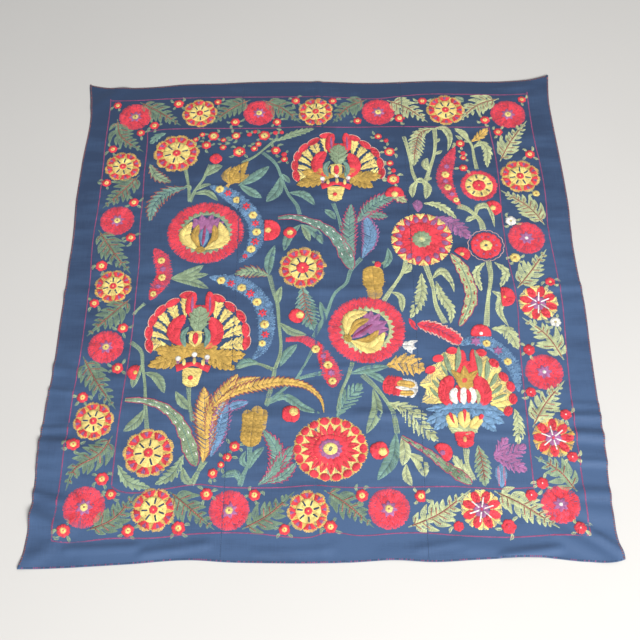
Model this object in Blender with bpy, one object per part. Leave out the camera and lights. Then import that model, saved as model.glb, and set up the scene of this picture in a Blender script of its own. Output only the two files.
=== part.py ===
"""Embroidered wall cloth laid flat: three sewn loom widths of blue cotton, in metres, +Z up."""

import bpy
import bmesh
import math

COLLECTION_NAME = "suzani_cloth"

# Size of the box around the pulled-out corners
CLOTH_WIDTH = 1.424
CLOTH_LENGTH = 1.488
CLOTH_THICKNESS = 0.002

# Seams run along Y between the loom widths
SEAM_GAP = 0.0003
SEAM_TABLE = {
    "left": {"near_x": -0.237, "middle_x": -0.227, "far_x": -0.231},
    "right": {"near_x": 0.253, "middle_x": 0.257, "far_x": 0.254},
}

# Inset of each edge from the box, sampled along the edge
LEFT_EDGE = [
    # y, inset
    (-0.744, 0.0000),
    (-0.715, 0.0060),
    (-0.670, 0.0100),
    (-0.570, 0.0118),
    (-0.450, 0.0080),
    (-0.350, 0.0105),
    (-0.230, 0.0165),
    (-0.070, 0.0170),
    (0.040, 0.0185),
    (0.200, 0.0178),
    (0.300, 0.0130),
    (0.440, 0.0145),
    (0.640, 0.0185),
    (0.690, 0.0115),
    (0.734, 0.0045),
]
RIGHT_EDGE = [
    # y, inset
    (-0.732, 0.0020),
    (-0.705, 0.0080),
    (-0.650, 0.0125),
    (-0.570, 0.0110),
    (-0.470, 0.0060),
    (-0.310, 0.0050),
    (-0.200, 0.0035),
    (-0.060, 0.0000),
    (0.040, 0.0043),
    (0.120, 0.0060),
    (0.280, 0.0008),
    (0.440, 0.0038),
    (0.560, 0.0080),
    (0.640, 0.0093),
    (0.744, 0.0003),
]
BOTTOM_EDGE = [
    # x, inset
    (-0.712, 0.0000),
    (-0.620, 0.0020),
    (-0.460, 0.0095),
    (-0.300, 0.0180),
    (-0.220, 0.0125),
    (-0.140, 0.0100),
    (0.060, 0.0090),
    (0.180, 0.0137),
    (0.260, 0.0088),
    (0.380, 0.0137),
    (0.520, 0.0165),
    (0.620, 0.0062),
    (0.695, 0.0058),
    (0.712, 0.0110),
]
TOP_EDGE = [
    # x, inset
    (-0.712, 0.0095),
    (-0.670, 0.0205),
    (-0.580, 0.0258),
    (-0.500, 0.0230),
    (-0.420, 0.0150),
    (-0.300, 0.0128),
    (-0.200, 0.0090),
    (0.000, 0.0110),
    (0.140, 0.0192),
    (0.380, 0.0158),
    (0.560, 0.0215),
    (0.660, 0.0158),
    (0.712, 0.0000),
]

# Soft folds: a ridge from one end to the other, with its height and half width
FOLDS = [
    # x0, y0, x1, y1, height, half_width
    (-0.720, -0.470, -0.560, -0.455, 0.0055, 0.048),
    (-0.720, -0.615, -0.610, -0.640, 0.0055, 0.042),
    (-0.715, -0.745, -0.640, -0.690, 0.0040, 0.030),
    (-0.720, -0.330, -0.600, -0.300, 0.0030, 0.050),
    (0.580, -0.375, 0.720, -0.370, 0.0035, 0.034),
    (0.580, -0.478, 0.720, -0.485, 0.0040, 0.036),
    (0.590, -0.610, 0.715, -0.630, 0.0060, 0.042),
    (0.560, -0.670, 0.680, -0.738, 0.0045, 0.028),
    (-0.690, 0.640, -0.600, 0.720, 0.0035, 0.030),
    (-0.710, 0.080, -0.600, 0.090, 0.0025, 0.060),
    (0.600, 0.230, 0.715, 0.250, 0.0025, 0.060),
    (0.600, 0.700, 0.712, 0.744, 0.0030, 0.040),
    (-0.560, -0.720, -0.350, -0.700, 0.0025, 0.035),
    (0.150, -0.720, 0.330, -0.715, 0.0025, 0.035),
    (0.350, -0.700, 0.520, -0.720, 0.0030, 0.030),
    (-0.330, -0.360, 0.560, -0.375, 0.0028, 0.024),
    (-0.710, -0.005, 0.712, -0.005, 0.0022, 0.022),
    (0.005, -0.730, 0.000, 0.730, 0.0024, 0.016),
]

# Cells across each band of the mesh, finer where the folds lie
ROW_BANDS = [
    # from, to, cells
    (0.00, 0.30, 36),
    (0.30, 0.54, 20),
    (0.54, 1.00, 30),
]
PANEL_BANDS = {
    "panel_left": [(0.00, 0.32, 10), (0.32, 1.00, 11)],
    "panel_middle": [(0.00, 0.42, 8), (0.42, 0.54, 8), (0.54, 1.00, 9)],
    "panel_right": [(0.00, 0.66, 11), (0.66, 1.00, 10)],
}

COTTON_COLOUR = (0.060, 0.113, 0.215, 1.0)
COTTON_ROUGHNESS = 0.92


def clear_scene():
    for item in list(bpy.data.objects):
        bpy.data.objects.remove(item, do_unlink=True)


def read_curve(table, along):
    """Read a smooth curve through the table's rows of (place, value)."""
    last = len(table) - 1
    along = min(max(along, table[0][0]), table[last][0])
    row = 0
    while row < last - 1 and along > table[row + 1][0]:
        row += 1
    start, end = table[row], table[row + 1]
    before = table[max(row - 1, 0)]
    after = table[min(row + 2, last)]
    span = end[0] - start[0]
    slope_in = (end[1] - before[1]) / (end[0] - before[0]) * span
    slope_out = (after[1] - start[1]) / (after[0] - start[0]) * span
    part = (along - start[0]) / span
    square = part * part
    cube = square * part
    return (
        (2 * cube - 3 * square + 1) * start[1]
        + (cube - 2 * square + part) * slope_in
        + (3 * square - 2 * cube) * end[1]
        + (cube - square) * slope_out
    )


def seam_x(side, y):
    """Give the seam's place across the cloth, a gentle bow through three sizes."""
    seam = SEAM_TABLE[side]
    rows = [(-CLOTH_LENGTH / 2, seam["near_x"]), (0.0, seam["middle_x"]), (CLOTH_LENGTH / 2, seam["far_x"])]
    return read_curve(rows, y)


def left_edge_x(y):
    return -CLOTH_WIDTH / 2 + read_curve(LEFT_EDGE, y)


def right_edge_x(y):
    return CLOTH_WIDTH / 2 - read_curve(RIGHT_EDGE, y)


def bottom_edge_y(x):
    return -CLOTH_LENGTH / 2 + read_curve(BOTTOM_EDGE, x)


def top_edge_y(x):
    return CLOTH_LENGTH / 2 - read_curve(TOP_EDGE, x)


def fold_height(x, y):
    """Add up the soft ridges at a place on the cloth."""
    total = 0.0
    for x0, y0, x1, y1, height, half_width in FOLDS:
        run_x, run_y = x1 - x0, y1 - y0
        length = math.hypot(run_x, run_y)
        along = ((x - x0) * run_x + (y - y0) * run_y) / length
        aside = abs((x - x0) * run_y - (y - y0) * run_x) / length
        beyond = max(-along, along - length, 0.0)
        distance = math.hypot(aside, beyond)
        if distance < half_width:
            total += height * 0.5 * (1.0 + math.cos(math.pi * distance / half_width))
    return total


def band_places(bands):
    """List the grid lines from 0 to 1 that the bands ask for."""
    places = [bands[0][0]]
    for start, end, cells in bands:
        places += [start + (end - start) * (step + 1) / cells for step in range(cells)]
    return places


def panel_sides(name, y):
    """Give the two long sides of a panel at one height on the cloth."""
    if name == "panel_left":
        return left_edge_x(y), seam_x("left", y) - SEAM_GAP / 2
    if name == "panel_middle":
        return seam_x("left", y) + SEAM_GAP / 2, seam_x("right", y) - SEAM_GAP / 2
    return seam_x("right", y) + SEAM_GAP / 2, right_edge_x(y)


def cotton_material(name):
    material = bpy.data.materials.new(name)
    material.use_nodes = True
    shader = material.node_tree.nodes["Principled BSDF"]
    shader.inputs["Base Color"].default_value = COTTON_COLOUR
    shader.inputs["Roughness"].default_value = COTTON_ROUGHNESS
    shader.inputs["Metallic"].default_value = 0.0
    return material


def build_panel(name, collection):
    """Lay a grid on the cloth's outline and folds, then give it the cloth's thickness."""
    columns = band_places(PANEL_BANDS[name])
    rows = band_places(ROW_BANDS)
    cells_across, cells_along = len(columns) - 1, len(rows) - 1
    sheet = bmesh.new()
    bmesh.ops.create_grid(sheet, x_segments=cells_across, y_segments=cells_along, size=0.5)
    for vert in sheet.verts:
        across = columns[round((vert.co.x + 0.5) * cells_across)]
        along = rows[round((vert.co.y + 0.5) * cells_along)]
        nominal_y = (along - 0.5) * CLOTH_LENGTH
        side_low, side_high = panel_sides(name, nominal_y)
        x = side_low + (side_high - side_low) * across
        y_low, y_high = bottom_edge_y(x), top_edge_y(x)
        y = y_low + (y_high - y_low) * along
        vert.co = (x, y, fold_height(x, y))
    underside = list(sheet.faces)
    lifted = bmesh.ops.extrude_face_region(sheet, geom=underside, use_keep_orig=True)
    top_verts = [item for item in lifted["geom"] if isinstance(item, bmesh.types.BMVert)]
    bmesh.ops.translate(sheet, verts=top_verts, vec=(0.0, 0.0, CLOTH_THICKNESS))
    bmesh.ops.recalc_face_normals(sheet, faces=sheet.faces)
    mesh = bpy.data.meshes.new(name)
    sheet.to_mesh(mesh)
    sheet.free()
    mesh.materials.append(cotton_material(name + "_cotton"))
    panel = bpy.data.objects.new(name, mesh)
    collection.objects.link(panel)
    return panel


def main():
    clear_scene()
    collection = bpy.data.collections.new(COLLECTION_NAME)
    bpy.context.scene.collection.children.link(collection)
    for name in PANEL_BANDS:
        build_panel(name, collection)


main()
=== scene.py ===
"""Dresses the suzani cloth: fine cotton panels and hand embroidery laid stitch by stitch."""

import math

import bmesh
import bpy
import numpy as np
from bpy.props import FloatProperty, FloatVectorProperty, IntProperty, PointerProperty
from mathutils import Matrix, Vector


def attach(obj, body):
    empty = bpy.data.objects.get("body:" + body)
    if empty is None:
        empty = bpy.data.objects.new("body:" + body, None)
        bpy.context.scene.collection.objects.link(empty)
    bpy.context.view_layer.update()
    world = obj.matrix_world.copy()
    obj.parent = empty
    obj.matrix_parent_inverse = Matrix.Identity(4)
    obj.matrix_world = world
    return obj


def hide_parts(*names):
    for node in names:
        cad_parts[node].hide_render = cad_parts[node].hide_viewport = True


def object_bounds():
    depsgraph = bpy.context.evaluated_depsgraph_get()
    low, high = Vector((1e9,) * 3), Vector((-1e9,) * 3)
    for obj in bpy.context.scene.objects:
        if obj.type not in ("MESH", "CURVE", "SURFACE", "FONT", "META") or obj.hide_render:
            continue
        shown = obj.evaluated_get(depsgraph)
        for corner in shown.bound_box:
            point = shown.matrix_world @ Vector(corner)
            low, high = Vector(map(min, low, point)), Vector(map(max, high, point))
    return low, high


bl_info = {
    "name": "Suzani Cloth",
    "version": (1, 0, 0),
    "blender": (4, 5, 0),
    "location": "View3D > Sidebar > Suzani",
    "description": "Builds a flat embroidered cloth with its panels, threads and stage",
    "category": "Object",
}

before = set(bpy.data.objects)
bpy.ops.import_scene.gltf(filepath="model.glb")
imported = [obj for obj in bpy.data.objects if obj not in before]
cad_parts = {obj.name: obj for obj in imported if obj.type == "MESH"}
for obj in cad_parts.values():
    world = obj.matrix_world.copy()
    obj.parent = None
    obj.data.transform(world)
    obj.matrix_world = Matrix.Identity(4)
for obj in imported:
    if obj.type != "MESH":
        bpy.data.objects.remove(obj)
CAD_LOW, CAD_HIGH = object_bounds()

THREADS_PER_METRE = 1400.0
PANEL_NODES = ("panel_left", "panel_middle", "panel_right")
CLOTH_WIDTH = round(CAD_HIGH.x - CAD_LOW.x, 3)
CLOTH_LENGTH = round(CAD_HIGH.y - CAD_LOW.y, 3)
CM = 0.01

def in_metres(*rows):
    """Turn rows of millimetres into rows of metres."""
    return tuple(tuple(value / 1000 for value in row) for row in rows)


# Outline of the cloth: places along it and insets from its box, as in the panels' solids
SEAM_GAP = 0.0003
LEFT_SEAM = in_metres((-744, -237), (0, -227), (744, -231))
RIGHT_SEAM = in_metres((-744, 253), (0, 257), (744, 254))
LEFT_EDGE = in_metres(
    (-744, 0), (-715, 6), (-670, 10), (-570, 11.8), (-450, 8), (-350, 10.5), (-230, 16.5), (-70, 17),
    (40, 18.5), (200, 17.8), (300, 13), (440, 14.5), (640, 18.5), (690, 11.5), (734, 4.5),
)
RIGHT_EDGE = in_metres(
    (-732, 2), (-705, 8), (-650, 12.5), (-570, 11), (-470, 6), (-310, 5), (-200, 3.5), (-60, 0),
    (40, 4.3), (120, 6), (280, 0.8), (440, 3.8), (560, 8), (640, 9.3), (744, 0.3),
)
BOTTOM_EDGE = in_metres(
    (-712, 0), (-620, 2), (-460, 9.5), (-300, 18), (-220, 12.5), (-140, 10), (60, 9), (180, 13.7),
    (260, 8.8), (380, 13.7), (520, 16.5), (620, 6.2), (695, 5.8), (712, 11),
)
TOP_EDGE = in_metres(
    (-712, 9.5), (-670, 20.5), (-580, 25.8), (-500, 23), (-420, 15), (-300, 12.8), (-200, 9), (0, 11),
    (140, 19.2), (380, 15.8), (560, 21.5), (660, 15.8), (712, 0),
)

# Soft folds, then narrow creases of the ground: x0, y0, x1, y1, height, half width
FOLDS = in_metres(
    (-720, -470, -560, -455, 5.5, 48), (-720, -615, -610, -640, 5.5, 42), (-715, -745, -640, -690, 4, 30),
    (-720, -330, -600, -300, 3, 50), (580, -375, 720, -370, 3.5, 34), (580, -478, 720, -485, 4, 36),
    (590, -610, 715, -630, 6, 42), (560, -670, 680, -738, 4.5, 28), (-690, 640, -600, 720, 3.5, 30),
    (-710, 80, -600, 90, 2.5, 60), (600, 230, 715, 250, 2.5, 60), (600, 700, 712, 744, 3, 40),
    (-560, -720, -350, -700, 2.5, 35), (150, -720, 330, -715, 2.5, 35), (350, -700, 520, -720, 3, 30),
    (-330, -360, 560, -375, 2.8, 24), (-710, -5, 712, -5, 2.2, 22), (5, -730, 0, 730, 2.4, 16),
)
CREASES = in_metres(
    (-714, -432, -635, -436, 9.5, 24), (-712, -398, -640, -394, 5, 13), (-700, -290, -635, -300, 4.6, 14),
    (-700, -225, -630, -240, 5.4, 24), (-712, -560, -640, -580, 7, 18), (-714, -612, -630, -650, 8.5, 30),
    (-712, -500, -650, -505, 2.8, 16), (-698, -12, -630, -20, 2.6, 20), (-690, 300, -630, 285, 2, 20),
    (-600, -700, -440, -694, 5.5, 18), (-420, -712, -270, -690, 5, 18), (-150, -712, 20, -704, 2.6, 16),
    (30, -690, 55, -735, 2.6, 15), (230, -705, 330, -690, 3.4, 16), (430, -722, 560, -706, 6, 18),
    (610, -650, 705, -712, 6.2, 16), (655, -680, 712, -730, 5, 14), (640, -344, 708, -348, 3.6, 12),
    (640, -378, 708, -380, 4.6, 12), (640, -425, 712, -432, 9.5, 24), (640, -496, 712, -500, 5.6, 14),
    (630, -575, 712, -580, 8.5, 27), (640, -4, 710, -6, 3.2, 20), (640, 180, 706, 170, 2, 18),
    (560, 690, 660, 710, 2.2, 18), (-480, 700, -330, 692, 2, 18), (-250, -370, -80, -380, 3.2, 18),
    (-240, -300, -100, -315, 2.8, 18), (-340, -262, -240, -245, 2.6, 18),
    (-120, -240, 120, -235, 2.6, 18), (100, -362, 300, -372, 3.4, 18), (240, -320, 280, -430, 2.2, 16),
    (380, -420, 520, -430, 2.8, 17), (240, -515, 330, -530, 2.2, 16), (-380, -505, -200, -520, 2, 16),
    (-120, 120, -20, 130, 1.6, 18),
)


def tint(red, green, blue):
    """Turn a colour read as 0 to 255 into a shader's linear colour."""
    shares = (red / 255, green / 255, blue / 255)
    return tuple(c / 12.92 if c <= 0.04045 else ((c + 0.055) / 1.055) ** 2.4 for c in shares)


def colour_property(name, description, default):
    return FloatVectorProperty(
        name=name, description=description, subtype="COLOR", size=3, min=0.0, max=1.0, default=default
    )


class SuzaniThreadColours(bpy.types.PropertyGroup):
    """Colours of the embroidery threads."""

    crimson: colour_property("Crimson", "Main red thread", tint(233, 66, 80))
    rose: colour_property("Rose", "Pink-red thread in lobes and lines", tint(190, 78, 112))
    yellow: colour_property("Yellow", "Pale yellow thread", tint(241, 216, 131))
    ochre: colour_property("Ochre", "Old gold thread", tint(222, 180, 94))
    gold: colour_property("Gold", "Darker gold thread of the buds", tint(198, 160, 78))
    sage: colour_property("Sage", "Yellow-green thread", tint(146, 166, 132))
    pale: colour_property("Pale green", "Palest green thread", tint(190, 197, 148))
    moss: colour_property("Moss", "Darker green thread of the far border", tint(116, 138, 112))
    teal: colour_property("Teal", "Blue-green thread", tint(122, 156, 141))
    lilac: colour_property("Lilac", "Purple thread", tint(168, 106, 152))
    sky: colour_property("Sky", "Light blue thread", tint(114, 150, 184))
    navy: colour_property("Navy", "Dark blue thread", tint(48, 70, 104))
    white: colour_property("White", "Off-white thread", tint(242, 238, 228))
    blush: colour_property("Blush", "Pale pink thread of outlines", tint(238, 186, 172))
    plum: colour_property("Plum", "Purple-pink thread of the drawn lines", tint(158, 70, 112))
    brown: colour_property("Brown", "Red-brown vein thread", tint(170, 102, 92))


def length_property(name, description, default, low, high):
    return FloatProperty(
        name=name, description=description, default=default, min=low, max=high, unit="LENGTH"
    )


class SuzaniClothFinish(bpy.types.PropertyGroup):
    """Sizes and colours of the cotton ground."""

    sheet_thickness: length_property("Sheet thickness", "Thickness of the cotton", 0.0013, 0.0005, 0.002)
    hem_width: length_property("Hem width", "Width of the turned hem", 0.009, 0.0, 0.03)
    hem_rise: length_property("Hem rise", "Extra thickness at the hem", 0.0005, 0.0, 0.001)
    cotton: colour_property("Cotton", "Indigo of the ground", tint(42, 63, 95))
    # Lighter end of the ground: real fading, painted sheen in streaks, and lighter towards the near end and
    # the right
    cotton_faded_and_sheen: colour_property("Lighter cotton", "Lighter indigo of fading and painted sheen", tint(65, 91, 128))
    thread_count: FloatProperty(
        name="Threads per metre", description="Warp threads in a metre of cotton",
        default=THREADS_PER_METRE, min=200.0, max=4000.0,
    )


class SuzaniStitchSizes(bpy.types.PropertyGroup):
    """Sizes of the stitches."""

    thread_width: length_property("Thread width", "Width of one laid thread", 0.0023, 0.0006, 0.004)
    row_spacing: length_property("Row spacing", "Distance between rows", 0.0020, 0.0006, 0.004)
    stitch_length: length_property("Stitch length", "Usual length of a stitch", 0.014, 0.003, 0.03)
    thread_rise: length_property("Thread rise", "Height of a thread over the cotton", 0.0004, 0.0001, 0.002)
    layer_rise: length_property("Layer rise", "Height added by each layer", 0.00036, 0.0, 0.001)
    seed: IntProperty(name="Seed", description="Seed of the hand's unevenness", default=7, min=0)


class SuzaniStage(bpy.types.PropertyGroup):
    """Light and floor of the stage."""

    key_power: FloatProperty(
        name="Key light", description="Power of the soft light on the near side",
        default=318.0, min=0.0, unit="POWER",
    )
    fill_power: FloatProperty(
        name="Fill light", description="Power of the soft light overhead",
        default=22.0, min=0.0, unit="POWER",
    )
    sky_strength: FloatProperty(
        name="Sky", description="Strength of the even light all round", default=0.34, min=0.0
    )
    floor_colour: colour_property("Floor", "Colour of the plain floor", (0.62, 0.60, 0.57))


def read_curve(table, along):
    """Read a smooth curve through rows of (place, value), for a number or an array."""
    places = np.array([row[0] for row in table])
    values = np.array([row[1] for row in table])
    slopes = np.gradient(values, places)
    along = np.clip(along, places[0], places[-1])
    row = np.clip(np.searchsorted(places, along, side="right") - 1, 0, len(places) - 2)
    span = places[row + 1] - places[row]
    part = (along - places[row]) / span
    square, cube = part**2, part**3
    return (
        (2 * cube - 3 * square + 1) * values[row]
        + (cube - 2 * square + part) * slopes[row] * span
        + (3 * square - 2 * cube) * values[row + 1]
        + (cube - square) * slopes[row + 1] * span
    )


def edge_positions(x, y):
    """Give left x, right x, bottom y and top y of the cloth's outline at a place."""
    left = -CLOTH_WIDTH / 2 + read_curve(LEFT_EDGE, y)
    right = CLOTH_WIDTH / 2 - read_curve(RIGHT_EDGE, y)
    bottom = -CLOTH_LENGTH / 2 + read_curve(BOTTOM_EDGE, x)
    top = CLOTH_LENGTH / 2 - read_curve(TOP_EDGE, x)
    return left, right, bottom, top


def fold_height(x, y):
    """Height of the cloth's underside over the floor, in metres."""
    total = np.zeros(np.shape(x))
    for x0, y0, x1, y1, height, half_width in FOLDS + CREASES:
        run_x, run_y = x1 - x0, y1 - y0
        length = math.hypot(run_x, run_y)
        along = ((x - x0) * run_x + (y - y0) * run_y) / length
        aside = np.abs((x - x0) * run_y - (y - y0) * run_x) / length
        beyond = np.maximum(np.maximum(-along, along - length), 0.0)
        share = np.clip(np.hypot(aside, beyond) / half_width, 0.0, 1.0)
        total += height * 0.5 * (1.0 + np.cos(math.pi * share))
    return total


def settings():
    scene = bpy.context.scene
    return scene.suzani_colours, scene.suzani_finish, scene.suzani_stitches, scene.suzani_stage


def new_object(name, data):
    item = bpy.data.objects.new(name, data)
    bpy.context.scene.collection.objects.link(item)
    return item


def link_piece(mesh, name, material):
    """Make a finished object of a mesh, riding on the cloth's only body."""
    piece = new_object(name, mesh)
    mesh.materials.append(material)
    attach(piece, "root")
    return piece


class NodeWork:
    """Places the nodes of one material or group and links them."""

    def __init__(self, tree):
        self.nodes, self.links = tree.nodes, tree.links

    def feed(self, node, inputs):
        """Give each named input a value, or link it where the value is a socket."""
        for name, value in inputs.items():
            if isinstance(value, bpy.types.NodeSocket):
                self.links.new(value, node.inputs[name])
            else:
                node.inputs[name].default_value = value

    def add(self, kind, inputs, **choices):
        node = self.nodes.new(kind)
        for name, value in choices.items():
            setattr(node, name, value)
        self.feed(node, inputs)
        return node.outputs

    def place(self):
        return self.add("ShaderNodeTexCoord", {})["Object"]

    def math(self, operation, first, second):
        return self.add("ShaderNodeMath", {0: first, 1: second}, operation=operation)[0]

    def noise(self, vector, scale, detail, stretch=(1.0, 1.0, 1.0)):
        """Noise on stretched coordinates."""
        vector = self.add("ShaderNodeMapping", {"Scale": stretch, "Vector": vector})[0]
        return self.add("ShaderNodeTexNoise", {"Scale": scale, "Detail": detail, "Vector": vector})["Fac"]

    def mix(self, factor, first, second):
        """Blend two opaque colours."""
        inputs = {"Factor": factor, "A": (*first, 1.0), "B": (*second, 1.0)}
        return self.add("ShaderNodeMix", inputs, data_type="RGBA")["Result"]

    def bump(self, strength, distance, height):
        inputs = {"Strength": strength, "Distance": distance, "Height": height}
        return self.add("ShaderNodeBump", inputs)[0]


def new_material(name):
    material = bpy.data.materials.new(name)
    material.use_nodes = True
    return material, NodeWork(material.node_tree), material.node_tree.nodes["Principled BSDF"]


def weave_group():
    """Make the shared plain-weave effect: a height and a shade that vary thread by thread."""
    group = bpy.data.node_groups.get("PlainWeave")
    if group:
        return group
    group = bpy.data.node_groups.new("PlainWeave", "ShaderNodeTree")
    count = group.interface.new_socket("Threads", in_out="INPUT", socket_type="NodeSocketFloat")
    count.default_value = THREADS_PER_METRE
    for name in ("Height", "Slub"):
        group.interface.new_socket(name, in_out="OUTPUT", socket_type="NodeSocketFloat")
    work = NodeWork(group)
    threads = work.add("NodeGroupInput", {})["Threads"]
    place = work.place()
    split = work.add("ShaderNodeSeparateXYZ", {0: place})
    turn = work.math("MULTIPLY", threads, math.pi)
    warp, weft = (work.math("SINE", work.math("MULTIPLY", split[axis], turn), 0.0) for axis in (0, 1))
    cross = work.math("MULTIPLY", warp, weft)
    slubs = [work.noise(place, 60.0, 3.0, stretch) for stretch in ((8.0, 0.35, 1.0), (0.35, 8.0, 1.0))]
    slub = work.math("MULTIPLY", work.math("ADD", *slubs), 0.5)
    height = work.math("ADD", work.math("MULTIPLY", cross, 0.25), slub)
    work.add("NodeGroupOutput", {"Height": height, "Slub": slub})
    return group


def cotton_material(finish):
    """Indigo plain-weave cotton, unevenly faded, with streaks of wear and painted sheen, lighter towards the
    near end and the right, with slubs and small wrinkles.
    """
    material, work, shader = new_material("indigo_cotton")
    weave = work.add("ShaderNodeGroup", {}, node_tree=weave_group())
    weave["Slub"].node.inputs["Threads"].default_value = finish.thread_count
    place = work.place()
    fade = work.math("MULTIPLY", work.noise(place, 2.6, 4.0), 0.6)
    # Stretched streaks, partly wear and partly painted sheen of the cloth's slopes
    wear_and_sheen_streak = work.math("MULTIPLY", work.noise(place, 12.0, 4.0, (0.45, 2.2, 1.0)), 0.8)
    mottle = work.math("ADD", fade, wear_and_sheen_streak)
    mottle = work.math("ADD", mottle, work.math("MULTIPLY", weave["Slub"], 0.5))
    split = work.add("ShaderNodeSeparateXYZ", {0: place})
    # Lighter towards the near end (-y) and a little towards the right (+x)
    for axis, gain in ((1, -0.36), (0, 0.08)):
        mottle = work.math("ADD", mottle, work.math("MULTIPLY", split[axis], gain))
    spread = work.add("ShaderNodeMapRange", {"From Min": 0.72, "From Max": 1.16, "Value": mottle})[0]
    wrinkle = work.math("MULTIPLY", work.noise(place, 9.0, 5.0, (1.0, 1.6, 1.0)), 5.0)
    relief = work.math("ADD", wrinkle, weave["Height"])
    work.feed(shader, {
        "Base Color": work.mix(spread, finish.cotton, finish.cotton_faded_and_sheen),
        "Normal": work.bump(0.5, 0.0006, relief),
        "Roughness": 0.62,
        "Specular IOR Level": 0.4,
        "Sheen Weight": 0.12,
        "Sheen Roughness": 0.5,
    })
    return material


def thread_material():
    """Twisted silk and cotton thread that takes its colour from each stitch."""
    material = bpy.data.materials.get("embroidery_thread")
    if material:
        return material
    material, work, shader = new_material("embroidery_thread")
    colour = work.add("ShaderNodeAttribute", {}, attribute_name="thread_colour")["Color"]
    place = work.place()
    strand = work.noise(place, 900.0, 2.0)
    worn = work.noise(place, 35.0, 3.0)
    shade = work.math("ADD", work.math("MULTIPLY", strand, 0.22), work.math("MULTIPLY", worn, 0.30))
    shade = work.math("ADD", shade, 0.74)
    tinted = work.add("ShaderNodeVectorMath", {0: colour, "Scale": shade}, operation="SCALE")[0]
    work.feed(shader, {
        "Base Color": tinted,
        "Normal": work.bump(0.35, 0.0002, strand),
        "Roughness": 0.62,
        "Specular IOR Level": 0.35,
        "Sheen Weight": 0.10,
    })
    return material


def band_places(bands):
    """List grid lines from 0 to 1 from rows of (from, to, cells)."""
    places = [bands[0][0]]
    for start, end, cells in bands:
        places += [start + (end - start) * (step + 1) / cells for step in range(cells)]
    return np.array(places)


class SUZANI_OT_panels(bpy.types.Operator):
    """Lay the three cotton panels on the cloth's folds"""

    bl_idname = "suzani.panels"
    bl_label = "Cotton Panels"

    COLUMNS = {
        "panel_left": ((0.0, 0.02, 3), (0.02, 0.998, 42), (0.998, 1.0, 1)),
        "panel_middle": ((0.0, 0.002, 1), (0.002, 0.998, 43), (0.998, 1.0, 1)),
        "panel_right": ((0.0, 0.002, 1), (0.002, 0.98, 42), (0.98, 1.0, 3)),
    }
    ROWS = ((0.0, 0.0065, 3), (0.0065, 0.5, 112), (0.5, 0.9935, 72), (0.9935, 1.0, 3))

    def execute(self, context):
        _, finish, _, _ = settings()
        cotton = cotton_material(finish)
        for name in PANEL_NODES:
            piece = self.build(name, cotton, finish)
            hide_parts(name)
        return {"FINISHED"}

    def build(self, name, cotton, finish):
        columns, rows = band_places(self.COLUMNS[name]), band_places(self.ROWS)
        across_cells, along_cells = len(columns) - 1, len(rows) - 1
        sheet = bmesh.new()
        bmesh.ops.create_grid(sheet, x_segments=across_cells, y_segments=along_cells, size=0.5)
        flat = np.array([vert.co for vert in sheet.verts])
        across = columns[np.rint((flat[:, 0] + 0.5) * across_cells).astype(int)]
        along = rows[np.rint((flat[:, 1] + 0.5) * along_cells).astype(int)]
        nominal_y = (along - 0.5) * CLOTH_LENGTH
        low, high = self.sides(name, nominal_y)
        x = low + (high - low) * across
        _, _, bottom, top = edge_positions(x, nominal_y)
        y = bottom + (top - bottom) * along
        z = fold_height(x, y)
        for vert, place in zip(sheet.verts, np.stack((x, y, z), 1)):
            vert.co = place
        underside = list(sheet.faces)
        lifted = bmesh.ops.extrude_face_region(sheet, geom=underside, use_keep_orig=True)
        upper = [item for item in lifted["geom"] if isinstance(item, bmesh.types.BMVert)]
        low_places = np.array([vert.co for vert in upper])
        rise = finish.sheet_thickness + hem_rise(low_places[:, 0], low_places[:, 1], finish)
        for vert, lift in zip(upper, rise):
            vert.co.z += lift
        bmesh.ops.recalc_face_normals(sheet, faces=sheet.faces)
        mesh = bpy.data.meshes.new(name + "_cotton")
        sheet.to_mesh(mesh)
        sheet.free()
        mesh.shade_smooth()
        return link_piece(mesh, name + "_cotton", cotton)

    def sides(self, name, y):
        """Give the x of a panel's two long sides."""
        left, right, _, _ = edge_positions(0.0, y)
        if name == "panel_left":
            return left, read_curve(LEFT_SEAM, y) - SEAM_GAP / 2
        if name == "panel_middle":
            return read_curve(LEFT_SEAM, y) + SEAM_GAP / 2, read_curve(RIGHT_SEAM, y) - SEAM_GAP / 2
        return read_curve(RIGHT_SEAM, y) + SEAM_GAP / 2, right


def hem_rise(x, y, finish):
    """Extra height of the turned hem near the outer edge."""
    left, right, bottom, top = edge_positions(x, y)
    inset = np.minimum(np.minimum(x - left, right - x), np.minimum(y - bottom, top - y))
    return finish.hem_rise * np.clip((finish.hem_width - inset) / 0.003, 0.0, 1.0)


# Embroidery layout. All its places are in centimetres from the middle of the layout,
# which lies a millimetre off the middle of the cloth's box.
LAYOUT_SHIFT = (-0.1, 0.1)
SEAM_CLEARANCE = 0.03
SHORTEST_ROW = 0.08
SHORTEST_STITCH = 0.10
SHORTEST_CUT_STITCH = 0.05
# How far the shade drifts from row to row, and how far it differs from stitch to stitch
SHADE_DRIFT = 0.22
SHADE_SPREAD = 0.11
# How deep a thread's edges sink in metres, on the cotton and on other threads
SUNK_IN_COTTON = 0.0002
SUNK_IN_THREADS = 0.00005


def motifs(*groups):
    """Read groups of (shared fields, rows of width, x, y, x, y and so on in millimetres).

    Each row becomes its points, its width and the shared fields, in centimetres.
    """
    table = []
    for shared, *rows in groups:
        for width, *places in rows:
            points = tuple((x / 10, y / 10) for x, y in zip(places[::2], places[1::2]))
            table.append((points, width / 10, *shared))
    return tuple(table)


def spots(*groups):
    """Read groups of (kind, rows of x, y, radius in millimetres) as x, y, radius, kind in centimetres."""
    return tuple((x / 10, y / 10, radius / 10, kind) for kind, *rows in groups for x, y, radius in rows)


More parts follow.
